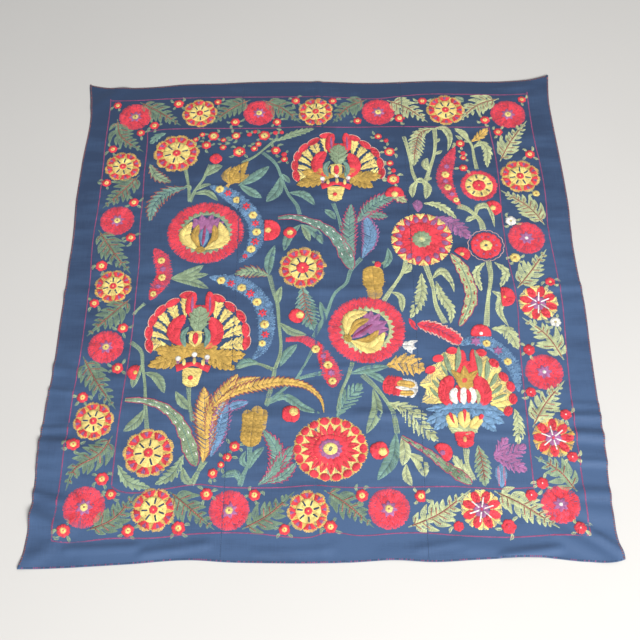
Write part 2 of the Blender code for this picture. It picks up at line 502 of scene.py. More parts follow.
class ThreadWork:
    """Collects stitches, each a raised thread from one point to another, in centimetres."""

    def __init__(self, seed_offset):
        self.colours, _, self.sizes, _ = settings()
        self.random = np.random.default_rng(self.sizes.seed * 100 + seed_offset)
        self.spacing = self.sizes.row_spacing / CM
        self.batches = []

    def lay(self, starts, ends, colour, level=0, stitch=None, shade=1.0, width=1.0):
        """Cover straight rows with stitches in brick order."""
        starts = np.asarray(starts, float).reshape(-1, 2)
        ends = np.asarray(ends, float).reshape(-1, 2)
        span = np.linalg.norm(ends - starts, axis=1)
        shade = np.broadcast_to(np.asarray(shade, float), span.shape)
        keep = span > SHORTEST_ROW
        starts, ends, span, shade = starts[keep], ends[keep], span[keep], shade[keep]
        if not len(span):
            return
        stitch = stitch or self.sizes.stitch_length / CM
        pieces = np.maximum(np.round(span / stitch), 1.0)
        phase = self.random.uniform(0.0, 1.0, len(span)) * (pieces > 1)
        marks = (np.arange(int(pieces.max()) + 2)[None, :] - phase[:, None]) / pieces[:, None]
        marks = np.clip(marks, 0.0, 1.0)
        low, high = marks[:, :-1], marks[:, 1:]
        row, part = np.nonzero((high - low) * span[:, None] > SHORTEST_STITCH)
        run = (ends - starts)[row]
        first = starts[row] + run * low[row, part][:, None]
        last = starts[row] + run * high[row, part][:, None]
        drift = self.random.normal(0.0, SHADE_DRIFT, len(span) + 3)
        drift = np.convolve(drift, np.full(4, 0.25), "valid")
        tone = shade[row] * (1.0 + drift[row]) * self.random.normal(1.0, SHADE_SPREAD, len(row))
        rgb = np.array(getattr(self.colours, colour))[None, :] * tone[:, None]
        half = np.full(len(row), self.sizes.thread_width / CM / 2 * width)
        half *= self.random.uniform(0.92, 1.1, len(row))
        self.batches.append((first, last, half, np.full(len(row), float(level)), rgb))

    def finished(self, clear):
        """Join all the stitches, clear of the seams where asked, and return their arrays in metres."""
        first, last, half, level, rgb = (np.concatenate(part) for part in zip(*self.batches))
        for seam in (LEFT_SEAM, RIGHT_SEAM) if clear else ():
            middle = (first + last) / 2
            line = read_curve(seam, middle[:, 1] * CM) / CM - LAYOUT_SHIFT[0]
            side = np.sign(middle[:, 0] - line)
            limit = line + side * SEAM_CLEARANCE
            for point, other in ((first, last), (last, first)):
                over = (point[:, 0] - limit) * side < 0
                run = other[:, 0] - point[:, 0]
                share = (limit - point[:, 0]) / np.where(run == 0, 1, run)
                step = np.where(over & (np.abs(run) > 1e-6), share, 0.0)
                point += (other - point) * np.clip(step, 0.0, 1.0)[:, None]
        keep = np.linalg.norm(last - first, axis=1) > SHORTEST_CUT_STITCH
        shift = np.array(LAYOUT_SHIFT)
        drift = 1.0 + 0.05 * np.sin(first[:, 0] * 0.9 + 1.3 * np.sin(first[:, 1] * 0.6))
        rgb = np.clip(rgb * drift[:, None], 0.0, 1.0)
        return tuple(
            part[keep] for part in ((first + shift) * CM, (last + shift) * CM, half * CM, level, rgb)
        )

    def build(self, name, clear=True):
        """Turn the stitches into one joined mesh of small closed threads."""
        first, last, half, level, rgb = self.finished(clear)
        _, finish, sizes, _ = settings()
        count = len(first)
        run = last - first
        run /= np.linalg.norm(run, axis=1)[:, None]
        side = np.stack((-run[:, 1], run[:, 0]), 1) * half[:, None]
        inset = run * np.minimum(half, 0.4 * np.linalg.norm(last - first, axis=1))[:, None]
        corners = (first - side, first + side, last + side, last - side)
        ridge = (first + inset, last - inset)
        flat = np.stack(corners + ridge, 1)
        rise = np.where(level > 0, -SUNK_IN_THREADS, -SUNK_IN_COTTON)[:, None].repeat(6, 1)
        rise[:, 4:] = sizes.thread_rise
        rise += level[:, None] * sizes.layer_rise
        surface = fold_height(flat[:, :, 0], flat[:, :, 1]) + finish.sheet_thickness
        places = np.concatenate((flat, (surface + rise)[:, :, None]), 2).reshape(-1, 3)
        quads = np.array(((0, 3, 5, 4), (2, 1, 4, 5), (0, 1, 2, 3)))
        ends = np.array(((1, 0, 4), (3, 2, 5)))
        base = np.arange(count)[:, None, None] * 6
        faces = (base + quads).reshape(-1, 4).tolist() + (base + ends).reshape(-1, 3).tolist()
        mesh = bpy.data.meshes.new(name)
        mesh.from_pydata(places.tolist(), [], faces)
        mesh.shade_smooth()
        paint = mesh.color_attributes.new("thread_colour", "FLOAT_COLOR", "POINT")
        rgba = np.ones((count, 6, 4), np.float32)
        rgba[:, :, :3] = rgb[:, None, :]
        paint.data.foreach_set("color", rgba.ravel())
        mesh.validate()
        return link_piece(mesh, name, thread_material())


class Path:
    """A smooth curve through points, read at shares from 0 to 1 of its length."""

    def __init__(self, points, step=0.1):
        points = np.asarray(points, float)
        chord = np.concatenate(([0.0], np.cumsum(np.linalg.norm(np.diff(points, axis=0), axis=1))))
        fine = np.linspace(0.0, chord[-1], max(int(chord[-1] / step), 8))
        if len(points) > 2:
            rows = [read_curve(list(zip(chord, points[:, axis])), fine) for axis in (0, 1)]
        else:
            rows = [np.interp(fine, chord, points[:, axis]) for axis in (0, 1)]
        self.places = np.stack(rows, 1)
        run = np.gradient(self.places, axis=0)
        run /= np.linalg.norm(run, axis=1)[:, None]
        self.normals = np.stack((-run[:, 1], run[:, 0]), 1)
        self.length = np.linalg.norm(np.diff(self.places, axis=0), axis=1).sum()

    def read(self, samples, share):
        index = np.clip(np.asarray(share, float), 0.0, 1.0) * (len(samples) - 1)
        low = np.minimum(index.astype(int), len(samples) - 2)
        part = (index - low)[..., None]
        return samples[low] * (1 - part) + samples[low + 1] * part

    def at(self, share, aside=0.0):
        """Give places along the curve, moved sideways."""
        aside = np.asarray(aside, float)[..., None]
        return self.read(self.places, share) + self.read(self.normals, share) * aside


def taper(t, rise, rise_power, fall, fall_power):
    """Grow from the start and shrink towards the end."""
    return np.minimum((t / rise) ** rise_power, ((1.0 - t) / fall) ** fall_power)


# Share of a shape's full width along its length
PROFILES = {
    "lens": lambda t: np.sin(math.pi * t) ** 0.75,
    # Widest a third of the way along, then drawn to a point
    "blade": lambda t: np.minimum(1.0, (t / 0.30) ** 0.6) * np.clip((1.0 - t) / 0.62, 0.0, 1.0) ** 0.8,
    # Round belly that narrows into a curled tip
    "boteh": lambda t: np.minimum(taper(t, 0.22, 0.55, 0.30, 0.5), 1.0),
    "stalk": lambda t: 0.8 + 0.2 * np.cos(2 * math.pi * t),
    # Fat at its end and thin at its start
    "comet": lambda t: np.minimum(taper(t, 0.75, 0.7, 0.16, 0.5), 1.0),
    # Slightly narrower at its start, with rounded ends
    "cup": lambda t: np.minimum(0.70 + 0.30 * t, taper(t, 0.30, 0.5, 0.04, 0.5)),
    # Even width between two half-round ends
    "rounded": lambda t: np.sqrt(1.0 - np.clip((np.abs(2.0 * t - 1.0) - 0.45) / 0.55, 0.0, 1.0) ** 2),
    # Slim stalk, broad lobes a third of the way along, then a long taper
    "acanthus": lambda t: np.interp(
        t, (0.0, 0.06, 0.15, 0.32, 0.52, 0.78, 1.0), (0.14, 0.17, 0.72, 1.0, 0.70, 0.40, 0.04)
    ),
    # Slim start that grows to a fat blunt end
    "swell": lambda t: np.minimum(0.25 + 0.80 * t, taper(t, 0.04, 0.5, 0.16, 0.5)),
}


def widths(profile, t):
    return PROFILES[profile](np.clip(t, 0.0, 1.0))


def saw(t, teeth, depth):
    """Share of the width left by teeth that point towards the tip."""
    if not teeth:
        return np.ones_like(t)
    part = (t * teeth) % 1.0
    return 1.0 - depth + depth * np.where(part < 0.8, (part / 0.8) ** 0.8, (1.0 - part) / 0.2)


def leaf(
    work, points, width, colour, profile="lens", teeth=0, depth=0.4, edge=None, vein=None, level=0, slant=0.7
):
    """Work a leaf in rows that slant from its midrib to its edges."""
    path = Path(points)
    rows = max(int(path.length / work.spacing), 4)
    t = (np.arange(rows) + 0.5) / rows
    cover = 1.5 if teeth else 1.1
    for side in (-1.0, 1.0):
        wobble = 1.0 + 0.05 * work.random.normal(0.0, 1.0, rows)
        offset = work.random.uniform(0.0, 0.6) / max(teeth, 1)
        reach = width / 2 * widths(profile, t) * saw(t + offset, teeth, depth) * wobble
        lean = slant * reach / path.length * 0.5
        starts, ends = path.at(t - lean), path.at(t + lean, side * reach)
        shade = 0.97 + 0.05 * np.sin(t * 9.0 + side)
        if edge:
            inner = starts + (ends - starts) * 0.80
            work.lay(starts, inner, colour, level, shade=shade, width=cover)
            work.lay(inner, ends, edge, level + 1)
        else:
            work.lay(starts, ends, colour, level, shade=shade, width=cover)
    if vein:
        ribs(work, path, width, vein, level + 2)


def ribs(work, path, width, colour, level):
    """Lay a thin midrib with side veins as uneven as a hand's."""
    line = path.at(np.linspace(0.06, 0.86, max(int(path.length / 0.6), 3)))
    work.lay(line[:-1], line[1:], colour, level, width=0.9)
    for side in (-1.0, 1.0):
        t = np.arange(0.15, 0.75, 1.15 / path.length)
        t += work.random.uniform(0.0, 0.3 / path.length, len(t))
        reach = width * 0.30 * widths("blade", t) * work.random.uniform(0.6, 1.0, len(t))
        tip = path.at(t + 1.0 / path.length) + path.read(path.normals, t) * (side * reach)[:, None]
        work.lay(path.at(t), tip, colour, level, width=0.9)


def band(work, points, width, colour, profile="stalk", level=0, rows=None, step=0.6):
    """Work a strip in rows that run along it, as stems and lines are."""
    path = Path(points)
    rows = rows or max(int(round(width / work.spacing)), 1)
    steps = max(int(path.length / step), 2)
    for row in range(rows):
        shift = (row % 2 - 0.5) * 0.5 / steps
        marks = np.clip(np.linspace(0.0, 1.0, steps + 1) + shift, 0.0, 1.0)
        offset = (row + 0.5) / rows - 0.5
        line = path.at(marks, offset * width * widths(profile, marks))
        if rows > 1:
            waver = work.random.normal(0.0, 0.012, (steps - 1, 1))
            line[1:-1] += path.read(path.normals, marks[1:-1]) * waver
        work.lay(line[:-1], line[1:], colour, level)


def flecks(work, points, width, colours, level):
    """Scatter short dark and light stitches over a worked shape."""
    path = Path(points)
    for colour, shade in zip(colours, (1.9, 1.3)):
        count = int(path.length * width * 1.1)
        t = work.random.uniform(0.03, 0.97, count)
        start = path.at(t, work.random.uniform(-0.5, 0.5, count) * width * widths("boteh", t))
        way = work.random.uniform(-0.6, 0.6, count)
        along = path.at(t + 0.1 / path.length) - path.at(t)
        run = path.read(path.normals, t) * 0.32 + along * way[:, None] * 3.0
        work.lay(start, start + run, colour, level, shade=shade)


def satin(work, points, width, colour, profile="boteh", level=0, teeth=0, depth=0.1, edge=None, ragged=0.03):
    """Work a shape in rows straight across it."""
    path = Path(points)
    rows = max(int(path.length / work.spacing), 4)
    t = (np.arange(rows) + 0.5) / rows
    sides = []
    for side in (-1.0, 1.0):
        wobble = 1.0 + ragged * work.random.normal(0.0, 1.0, rows)
        reach = width / 2 * widths(profile, t) * saw(t, teeth, depth) * wobble
        sides.append(path.at(t, side * reach))
    shade = 1.0 + 0.05 * np.sin(t * path.length * 1.7)
    work.lay(sides[0], sides[1], colour, level, shade=shade)
    if edge:
        for side in sides:
            work.lay(side[:-1], side[1:], edge, level + 1)


def ring(work, centre, inner, outer, colour, level=0, turn=0.0, stretch=(1.0, 1.0), shade=None, ragged=0.02):
    """Work a ring in radial rows between two outlines, given as sizes or functions of the angle."""
    centre = np.asarray(centre, float)
    size_in = inner if callable(inner) else (lambda angle: np.full_like(angle, inner))
    size_out = outer if callable(outer) else (lambda angle: np.full_like(angle, outer))
    probe = np.linspace(0.0, 2 * math.pi, 90)
    lowest, highest = float(size_in(probe).min()), float(size_out(probe).max())
    depth = max(0.9, 0.25 * (highest - lowest))
    cuts = max(int(round((highest - lowest) / depth)), 1)
    for cut in range(cuts):
        from_size = lowest + (highest - lowest) * cut / cuts
        to_size = lowest + (highest - lowest) * (cut + 1) / cuts
        rays = max(int(math.pi * (from_size * 0.8 + to_size * 1.2) / work.spacing), 5)
        angle = (np.arange(rays) + work.random.uniform(0, 1)) * 2 * math.pi / rays
        start = np.maximum(from_size, size_in(angle))
        limit = size_out(angle) * (1.0 + ragged * work.random.normal(0.0, 1.0, rays))
        jitter = 0.45 * depth * work.random.uniform(-1.0, 1.0, rays) if cut < cuts - 1 else 0.0
        end = np.minimum(to_size + 0.05 + jitter, limit)
        start = start - (work.random.uniform(0.05, 0.9, rays) * depth if cut else 0.0)
        good = end - start > 0.08
        angle, start, end = angle[good], start[good], end[good]
        way = np.stack((np.cos(angle), np.sin(angle)), 1)
        tone = shade(angle) if shade else 1.0
        begins = turned(way * start[:, None] * stretch, turn) + centre
        finishes = turned(way * end[:, None] * stretch, turn) + centre
        work.lay(begins, finishes, colour, level, shade=tone, stitch=1.2)


def turned(points, degrees):
    """Turn points about the origin."""
    angle = math.radians(degrees)
    c, s = math.cos(angle), math.sin(angle)
    return np.asarray(points, float) @ np.array(((c, s), (-s, c)))


def blob(work, centre, long_size, short_size, direction, colour, level=0):
    """Work a rounded spot in rows along its own direction, given in degrees."""
    rows = max(int(short_size / work.spacing), 2)
    offset = ((np.arange(rows) + 0.5) / rows - 0.5) * short_size
    reach = long_size / 2 * np.sqrt(np.maximum(1.0 - (2 * offset / short_size) ** 2, 0.05))
    reach *= 1.0 + 0.05 * work.random.normal(0.0, 1.0, rows)
    ends = turned(np.stack((reach, offset), 1), direction) + centre
    starts = turned(np.stack((-reach, offset), 1), direction) + centre
    work.lay(starts, ends, colour, level)


def around(centre, radius, degrees):
    angle = math.radians(degrees)
    return np.array((centre[0] + radius * math.cos(angle), centre[1] + radius * math.sin(angle)))


def spots_round(work, x, y, reach, count, turn, long_size, short_size, colour, level):
    """Work the same spot a number of times round a middle."""
    for spot in range(count):
        way = turn + 360.0 * spot / count
        blob(work, around((x, y), reach, way), long_size, short_size, way, colour, level)


def patchy(phase, sectors=3):
    """Shade that goes from light to dark by angle round a flower."""
    return lambda angle: 1.0 + 0.07 * np.sin(sectors * angle + phase) + 0.04 * np.sin(7 * angle + 2 * phase)


def scallop(radius, lobes, depth, phase=0.0):
    """Outline of rounded lobes round a circle."""
    return lambda angle: radius * (1.0 - depth + depth * np.abs(np.cos(lobes / 2 * (angle + phase))) ** 0.6)


def star(radius, points, depth, phase=0.0):
    """Outline of straight points round a circle."""
    turns = points / (2 * math.pi)
    return lambda angle: radius * (1.0 - depth * np.abs((angle + phase) * turns % 1.0 * 2.0 - 1.0))


def cut_disc(radius):
    """Outline of a disc with its back cut straight."""
    return lambda angle: np.where(
        np.cos(angle) < -0.3, 0.3 * radius / np.maximum(-np.cos(angle), 0.3), radius
    )


def red_rosette(work, x, y, radius, turn, centre="yellow"):
    """Red disc with a lilac star and a lobed heart."""
    ring(work, (x, y), 0.0, scallop(radius, 16, 0.04), "crimson", 0, turn, shade=patchy(turn), ragged=0.025)
    ring(work, (x, y), 0.0, star(radius * 0.42, 7, 0.42), "lilac", 1, turn)
    heart = radius * (0.20 if centre == "yellow" else 0.11)
    ring(work, (x, y), 0.0, scallop(heart, 6, 0.12), centre, 2, turn)
    if centre == "yellow":
        blob(work, (x, y), radius * 0.12, radius * 0.10, 0.0, "brown", 3)


def sun_rosette(work, x, y, radius, turn, lobes=8, ticks=7, heart=0.20):
    """Ochre scallops, crimson lobes with lilac spots, and a ticked yellow disc."""
    ring(work, (x, y), radius * 0.52, scallop(radius * 1.03, lobes, 0.14), "ochre", 0, turn)
    step = 360.0 / lobes
    for lobe in range(lobes):
        way = turn + step * lobe
        petal = (around((x, y), radius * 0.50, way), around((x, y), radius * 0.88, way))
        leaf(work, petal, 4.6 * radius / lobes, "crimson", "comet", level=1, slant=0.2)
        spot = (around((x, y), radius * 0.66, way), around((x, y), radius * 0.87, way))
        leaf(work, spot, radius * 0.17, "lilac", "comet", level=2, slant=0.2)
    ring(work, (x, y), 0.0, scallop(radius * 0.60, lobes, 0.05), "yellow", 3, turn)
    spots_round(work, x, y, radius * 0.40, ticks, turn + 12.0, radius * 0.32, radius * 0.07, "navy", 4)
    ring(work, (x, y), 0.0, scallop(radius * heart, 7, 0.1), "crimson", 5, turn)
    blob(work, (x, y), radius * 0.08, radius * 0.07, 0.0, "yellow", 6)


def spoked_rosette(work, x, y, radius, turn, tips="yellow"):
    """Red petals with trumpet tips between them round a lilac disc with white spokes."""
    petals = 8
    for petal in range(petals):
        way = turn + 360.0 * petal / petals
        leaf(
            work,
            (around((x, y), radius * 0.40, way), around((x, y), radius * 0.98, way)),
            radius * 0.52, tips, profile="comet", level=0,
        )
        side = way + 180.0 / petals
        blob(work, around((x, y), radius * 0.64, side), radius * 0.64, radius * 0.41, side, "crimson", 1)
    ring(work, (x, y), 0.0, star(radius * 0.42, 7, 0.25), "lilac", 2, turn)
    spots_round(work, x, y, radius * 0.37, 6, turn + 18.0, radius * 0.56, radius * 0.06, "white", 3)
    blob(work, (x, y), radius * 0.12, radius * 0.12, 0.0, "crimson", 4)


# x, y, radius, turn in degrees
RED_BORDER_ROSETTES = (
    (-55.4, 60.4, 5.0, 10), (-17.8, 61.2, 4.8, 30), (18.3, 60.9, 5.0, 5), (57.4, 59.3, 5.3, 20),
    (-57.2, 22.9, 4.9, 40), (-56.3, -16.9, 4.8, 15), (-57.1, -59.8, 5.2, 25), (-21.9, -60.9, 5.0, 0),
    (16.6, -60.9, 5.1, 18),
)
WHITE_HEART_ROSETTES = ((58.1, 15.3, 5.2, 12), (58.1, -25.5, 5.0, 28), (57.8, -60.3, 4.7, 33))
SUN_BORDER_ROSETTES = (
    (-35.8, 61.4, 5.3, 8), (-0.6, 61.3, 5.3, 22), (38.7, 61.3, 5.7, 0), (-57.4, 41.8, 5.2, 15),
    (-56.2, 1.4, 5.1, 30), (-57.3, -37.7, 5.1, 10), (58.6, 36.4, 5.7, 25), (-40.2, -60.6, 5.4, 18),
    (-2.8, -61.3, 5.1, 5),
)
# x, y, radius, turn, colour of the tips
SPOKED_ROSETTES = (
    (59.0, -5.3, 5.3, 5, "yellow"), (58.2, -43.4, 5.2, 20, "ochre"), (38.8, -61.3, 5.0, 0, "yellow"),
)


class SUZANI_OT_border_rosettes(bpy.types.Operator):
    """Stitch the round flowers of the border"""

    bl_idname = "suzani.border_rosettes"
    bl_label = "Border Rosettes"

    def execute(self, context):
        red = ThreadWork(1)
        for x, y, radius, turn in RED_BORDER_ROSETTES:
            red_rosette(red, x, y, radius, turn)
        for x, y, radius, turn in WHITE_HEART_ROSETTES:
            red_rosette(red, x, y, radius, turn, "white")
        red.build("border_red_rosettes")
        sun = ThreadWork(2)
        for x, y, radius, turn in SUN_BORDER_ROSETTES:
            sun_rosette(sun, x, y, radius, turn)
        for x, y, radius, turn, tips in SPOKED_ROSETTES:
            spoked_rosette(sun, x, y, radius, turn, tips)
        sun.build("border_sun_rosettes")
        return {"FINISHED"}


def lobed(work, points, width, colour, vein):
    """Work a leaf of long uneven lobes that point forward from a slim middle."""
    path = Path(points)
    leaf(work, points, width * 0.32, colour, "acanthus")
    line = path.at(np.linspace(0.06, 0.74, max(int(path.length / 0.9), 3)))
    work.lay(line[:-1], line[1:], vein, 2, width=1.3)
    count = max(int(round(path.length / 2.2)), 4)
    for side in (-1.0, 1.0):
        for lobe in range(count):
            t = 0.06 + 0.84 * (lobe + work.random.uniform(0.25, 0.75)) / count
            reach = width * 0.52 * float(widths("acanthus", t + 0.05)) * work.random.uniform(0.8, 1.15)
            marks = np.array((t, t + reach * 0.30 / path.length, t + reach * 0.82 / path.length))
            bend = path.at(marks, np.array((0.1, 0.6, 1.05)) * side * reach)
            band(work, bend, min(0.8 + 0.34 * reach, 1.8), colour, "blade", step=0.9)
            if work.random.uniform() < 0.7:
                work.lay(bend[0], bend[0] + (bend[1] - bend[0]) * 1.1, vein, 2)


def curls(work, rows):
    """Work leaves from rows of (points, width, colour, style, level where above 0)."""
    for points, width, colour, style, *level in rows:
        if style == "border":
            lobed(work, points, width, colour, "brown")
            continue
        look = dict(LEAF_STYLES[style])
        tooth = look.pop("tooth", 0.0)
        if tooth:
            chord = np.linalg.norm(np.diff(points, axis=0), axis=1).sum()
            look["teeth"] = max(int(round(chord / tooth)), 3)
        leaf(work, points, width, colour, level=sum(level), **look)


# Profile, length of a tooth in centimetres, share of the width it cuts, edge and vein threads
LEAF_STYLES = {
    "saw": {"profile": "lens", "tooth": 1.6, "depth": 0.42},
    "sharp": {"profile": "lens", "tooth": 1.5, "depth": 0.48, "slant": 1.1},
    "veined": {"profile": "lens", "tooth": 1.3, "depth": 0.38, "vein": "brown"},
    "plain": {"profile": "lens"},
    "blade": {"profile": "blade"},
    "thorny": {"profile": "lens", "tooth": 1.5, "depth": 0.48, "edge": "brown"},
    "pink": {"profile": "lens", "tooth": 1.3, "depth": 0.38, "edge": "rose"},
    "ochre": {"profile": "lens", "tooth": 1.2, "depth": 0.30, "edge": "brown"},
    "gold": {"profile": "blade", "tooth": 1.0, "depth": 0.30, "edge": "brown"},
    "tail": {"profile": "blade", "tooth": 1.2, "depth": 0.40, "edge": "brown"},
    "bulb": {"profile": "rounded", "slant": 0.0},
    "plum": {"profile": "lens", "tooth": 1.1, "depth": 0.28, "edge": "lilac"},
    "lined": {"profile": "rounded", "tooth": 1.4, "depth": 0.26, "edge": "blush", "vein": "rose"},
}

# Leaves of the border, base to tip: (colour, style)
BORDER_LEAVES = motifs(
    (("moss", "border"), (72, -544, 660, -484, 622, -410, 566), (70, -206, 664, -260, 632, -326, 568),
     (70, -168, 662, -108, 628, -48, 568), (68, 150, 658, 94, 630, 42, 566)),
    (("pale", "border"), (70, 212, 654, 270, 624, 333, 565), (72, 553, 654, 492, 634, 420, 566)),
    (("sage", "plain"), (21, 420, 664, 445, 645)),
    (("moss", "border"), (72, -608, 596, -594, 536, -517, 470), (72, -523, 386, -560, 338, -620, 270),
     (70, -622, 198, -586, 142, -515, 50), (72, -510, -24, -552, -66, -620, -140),
     (72, -620, -196, -588, -252, -518, -348), (72, -520, -416, -546, -464, -606, -504, -622, -560)),
    (("pale", "border"), (70, 533, 418, 568, 484, 630, 570), (72, 637, 194, 602, 250, 522, 318),
     (70, 538, -8, 582, 46, 634, 118), (72, 636, -222, 604, -156, 540, -95),
     (72, 534, -406, 570, -348, 632, -278)),
    (("sage", "border"), (68, 621, -572, 590, -524, 528, -480)),
    (("moss", "border"), (72, -558, -655, -498, -628, -446, -562),
     (70, -366, -562, -328, -592, -250, -658), (72, -186, -655, -128, -624, -59, -562),
     (70, 10, -562, 56, -590, 130, -656)),
    (("pale", "border"), (74, 210, -654, 280, -626, 368, -563), (72, 422, -568, 480, -598, 572, -662)),
)

# Small round flowers, by kind
FLORETS = spots(
    ("red", (-612, 649, 13), (-425, 652, 16), (-305, 657, 12), (-493, 569, 15), (-532, 542, 13),
     (-249, 578, 15), (-123, 576, 14), (-67, 657, 14), (46, 654, 13), (120, 576, 13), (247, 584, 16),
     (319, 649, 14), (503, 572, 15), (622, 649, 13), (-610, 482, 14), (-616, 360, 14), (-530, 290, 15),
     (-528, 171, 15), (-600, 78, 17), (-608, -38, 14), (-523, -114, 15), (-526, -231, 16),
     (-607, -313, 15), (-615, -439, 17), (-535, -528, 17), (-509, -567, 14), (-612, -656, 16),
     (538, 526, 14), (623, 442, 15)),
    ("sun", (625, 302, 11)),
    ("solid", (163, 73, 10)),
    ("white", (543, 210, 16)),
    ("sun", (542, 89, 15)),
    ("small", (629, 11, 14)),
    ("white", (628, -111, 15)),
    ("dot", (549, -192, 16), (540, -311, 14), (620, -374, 15), (622, -485, 14), (541, -550, 15),
     (617, -660, 15), (511, -579, 15)),
    ("red", (-459, -656, 16), (-339, -651, 17), (-276, -569, 16), (-159, -572, 15), (-85, -657, 14),
     (25, -651, 16), (102, -576, 16), (245, -579, 16)),
    ("solid", (330, -653, 13), (449, -655, 18)),
    ("red", (-365, 514, 9), (-346, 532, 9)),
    ("ring", (-312, 526, 17)),
    ("red", (-332, 492, 15), (-282, 511, 9), (-282, 483, 11)),
    ("ring", (-245, 526, 14), (-233, 466, 19)),
    ("solid", (-205, 530, 8), (-188, 540, 7)),
    ("ring", (-160, 525, 18)),
    ("solid", (-127, 535, 8), (-108, 536, 7)),
    ("red", (-177, 494, 10), (-189, 477, 11), (-125, 469, 15)),
    ("solid", (-100, 454, 9)),
    ("red", (-99, 437, 11), (180, 516, 11)),
    ("solid", (203, 500, 8)),
    ("ring", (211, 458, 16)),
    ("red", (211, 417, 11)),
    ("solid", (220, 390, 8)),
    ("ring", (218, 359, 19)),
    ("red", (422, 485, 14)),
    ("solid", (427, 449, 8)),
    ("red", (427, 432, 9), (424, 396, 13), (-212, -448, 14), (-229, -476, 12), (-244, -495, 9),
     (-263, -517, 13)),
)
# Petals, heart and dot of each kind of small flower
FLORET_KINDS = {
    "red": ("crimson", "yellow", "crimson"), "sun": ("yellow", "ochre", "brown"),
    "white": ("white", "yellow", "yellow"), "solid": ("crimson", "crimson", "rose"),
    "ring": ("crimson", "yellow", "navy"),
    "dot": ("crimson", "crimson", "white"), "small": ("crimson", "yellow", "yellow"),
    "spider": ("crimson", "lilac", "navy"),
}
FLORET_HEARTS = {"ring": 0.62, "sun": 0.36, "white": 0.18, "spider": 0.30, "small": 0.28}
LEAFLET_WAYS = (35.0, 150.0, 215.0, 300.0)


def floret(work, x, y, radius, kind):
    petals, heart, dot = FLORET_KINDS[kind]
    turn = (x * 7.0 + y * 3.0) % 60.0
    outline = star(radius * 1.15, 6, 0.60) if kind == "spider" else scallop(radius, 6, 0.16)
    ring(work, (x, y), radius * 0.2, outline, petals, 2, turn, ragged=0.03)
    ring(work, (x, y), 0.0, radius * FLORET_HEARTS.get(kind, 0.48), heart, 3, turn)
    blob(work, (x, y), radius * 0.24, radius * 0.22, 0.0, dot, 4)


class SUZANI_OT_border_leaves(bpy.types.Operator):
    """Stitch the serrated leaves of the border"""

    bl_idname = "suzani.border_leaves"
    bl_label = "Border Leaves"

    def execute(self, context):
        work = ThreadWork(3)
        curls(work, BORDER_LEAVES)
        work.build("border_leaves")
        return {"FINISHED"}


class SUZANI_OT_florets(bpy.types.Operator):
    """Stitch the small round flowers and their leaflets"""

    bl_idname = "suzani.florets"
    bl_label = "Florets"

    def execute(self, context):
        work = ThreadWork(4)
        for x, y, radius, kind in FLORETS:
            first = int(x * 3 + y) % 4
            count = 4 if radius > 1.3 else 2
            for way in (LEAFLET_WAYS * 2)[first:first + count]:
                way += work.random.uniform(-35.0, 35.0)
                bend = way + work.random.uniform(-25.0, 25.0)
                tip = around((x, y), radius + work.random.uniform(0.8, 1.7), bend)
                root, middle = around((x, y), radius * 0.8, way), around((x, y), radius * 1.4, way)
                leaf(work, (root, middle, tip), 0.85, "pale" if x > 20 else "sage")
            floret(work, x, y, radius, kind)
        work.build("florets")
        return {"FINISHED"}


# Two drawn lines frame the border, in centimetres
GUARD_LINES = (
    ((-63.7, 66.7), (-55, 66.8), (-45, 67.3), (-30, 67.6), (-16, 67.4), (-5, 67.3), (2, 67.2), (8, 66.7),
     (15, 66.1), (19, 66.2), (25, 66.9), (33.5, 67.6), (45, 67.3), (60, 66.9), (64.2, 67.1)),
    ((-63.5, 67.3), (-63.4, 60), (-63.5, 50), (-63.2, 40), (-63.1, 30), (-63.4, 15), (-62.8, 5), (-62.7, -5),
     (-62.8, -20), (-63.4, -35), (-63.7, -50), (-63.9, -67.9)),
    ((-63.9, -67.9), (-60, -68.3), (-50, -67.4), (-40, -67.4), (-30, -66.5), (-15, -66.6), (-8, -67.4),
     (-2, -67.5), (1, -66.6), (10, -67.3), (18, -66.8), (25, -66.8), (32, -67.4), (45, -68), (55, -67.6),
     (63.7, -67.7)),
    ((64.1, 68.0), (64.0, 60), (64.2, 50), (64.9, 40), (65.1, 30), (64.5, 20), (65.1, 5), (65.4, -5),
     (64.9, -15), (64.5, -22), (64.0, -35), (63.9, -50), (63.8, -67.8)),
    ((-51.3, 54.6), (-48, 55.2), (-40, 55.6), (-25, 55.4), (-15, 55.3), (-5, 55.6), (10, 55.2), (25, 55.2),
     (32, 55), (45, 54.6), (50.9, 54.6)),
    ((-51.2, 54.8), (-50.9, 50), (-50.9, 40), (-50.6, 30), (-50.5, 20), (-49.8, 10), (-49.75, 0),
     (-49.9, -20), (-50.5, -30), (-50.9, -40), (-51, -54.5)),
    ((-51, -54.6), (-50, -55.3), (-38, -55.5), (-33, -54.7), (-30, -54.4), (-25, -55), (-10, -55.4),
     (0, -55), (3, -55.3), (20, -55.6), (33, -55.6), (45, -56.3), (52, -56)),
    ((51.2, 54.6), (51.6, 50), (52.1, 44), (52.0, 20), (52.2, 10), (53.1, 0), (53.3, -5), (52.8, -15),
     (52.6, -20), (52.4, -30), (52.2, -40), (52.0, -50), (52.0, -56)),
)


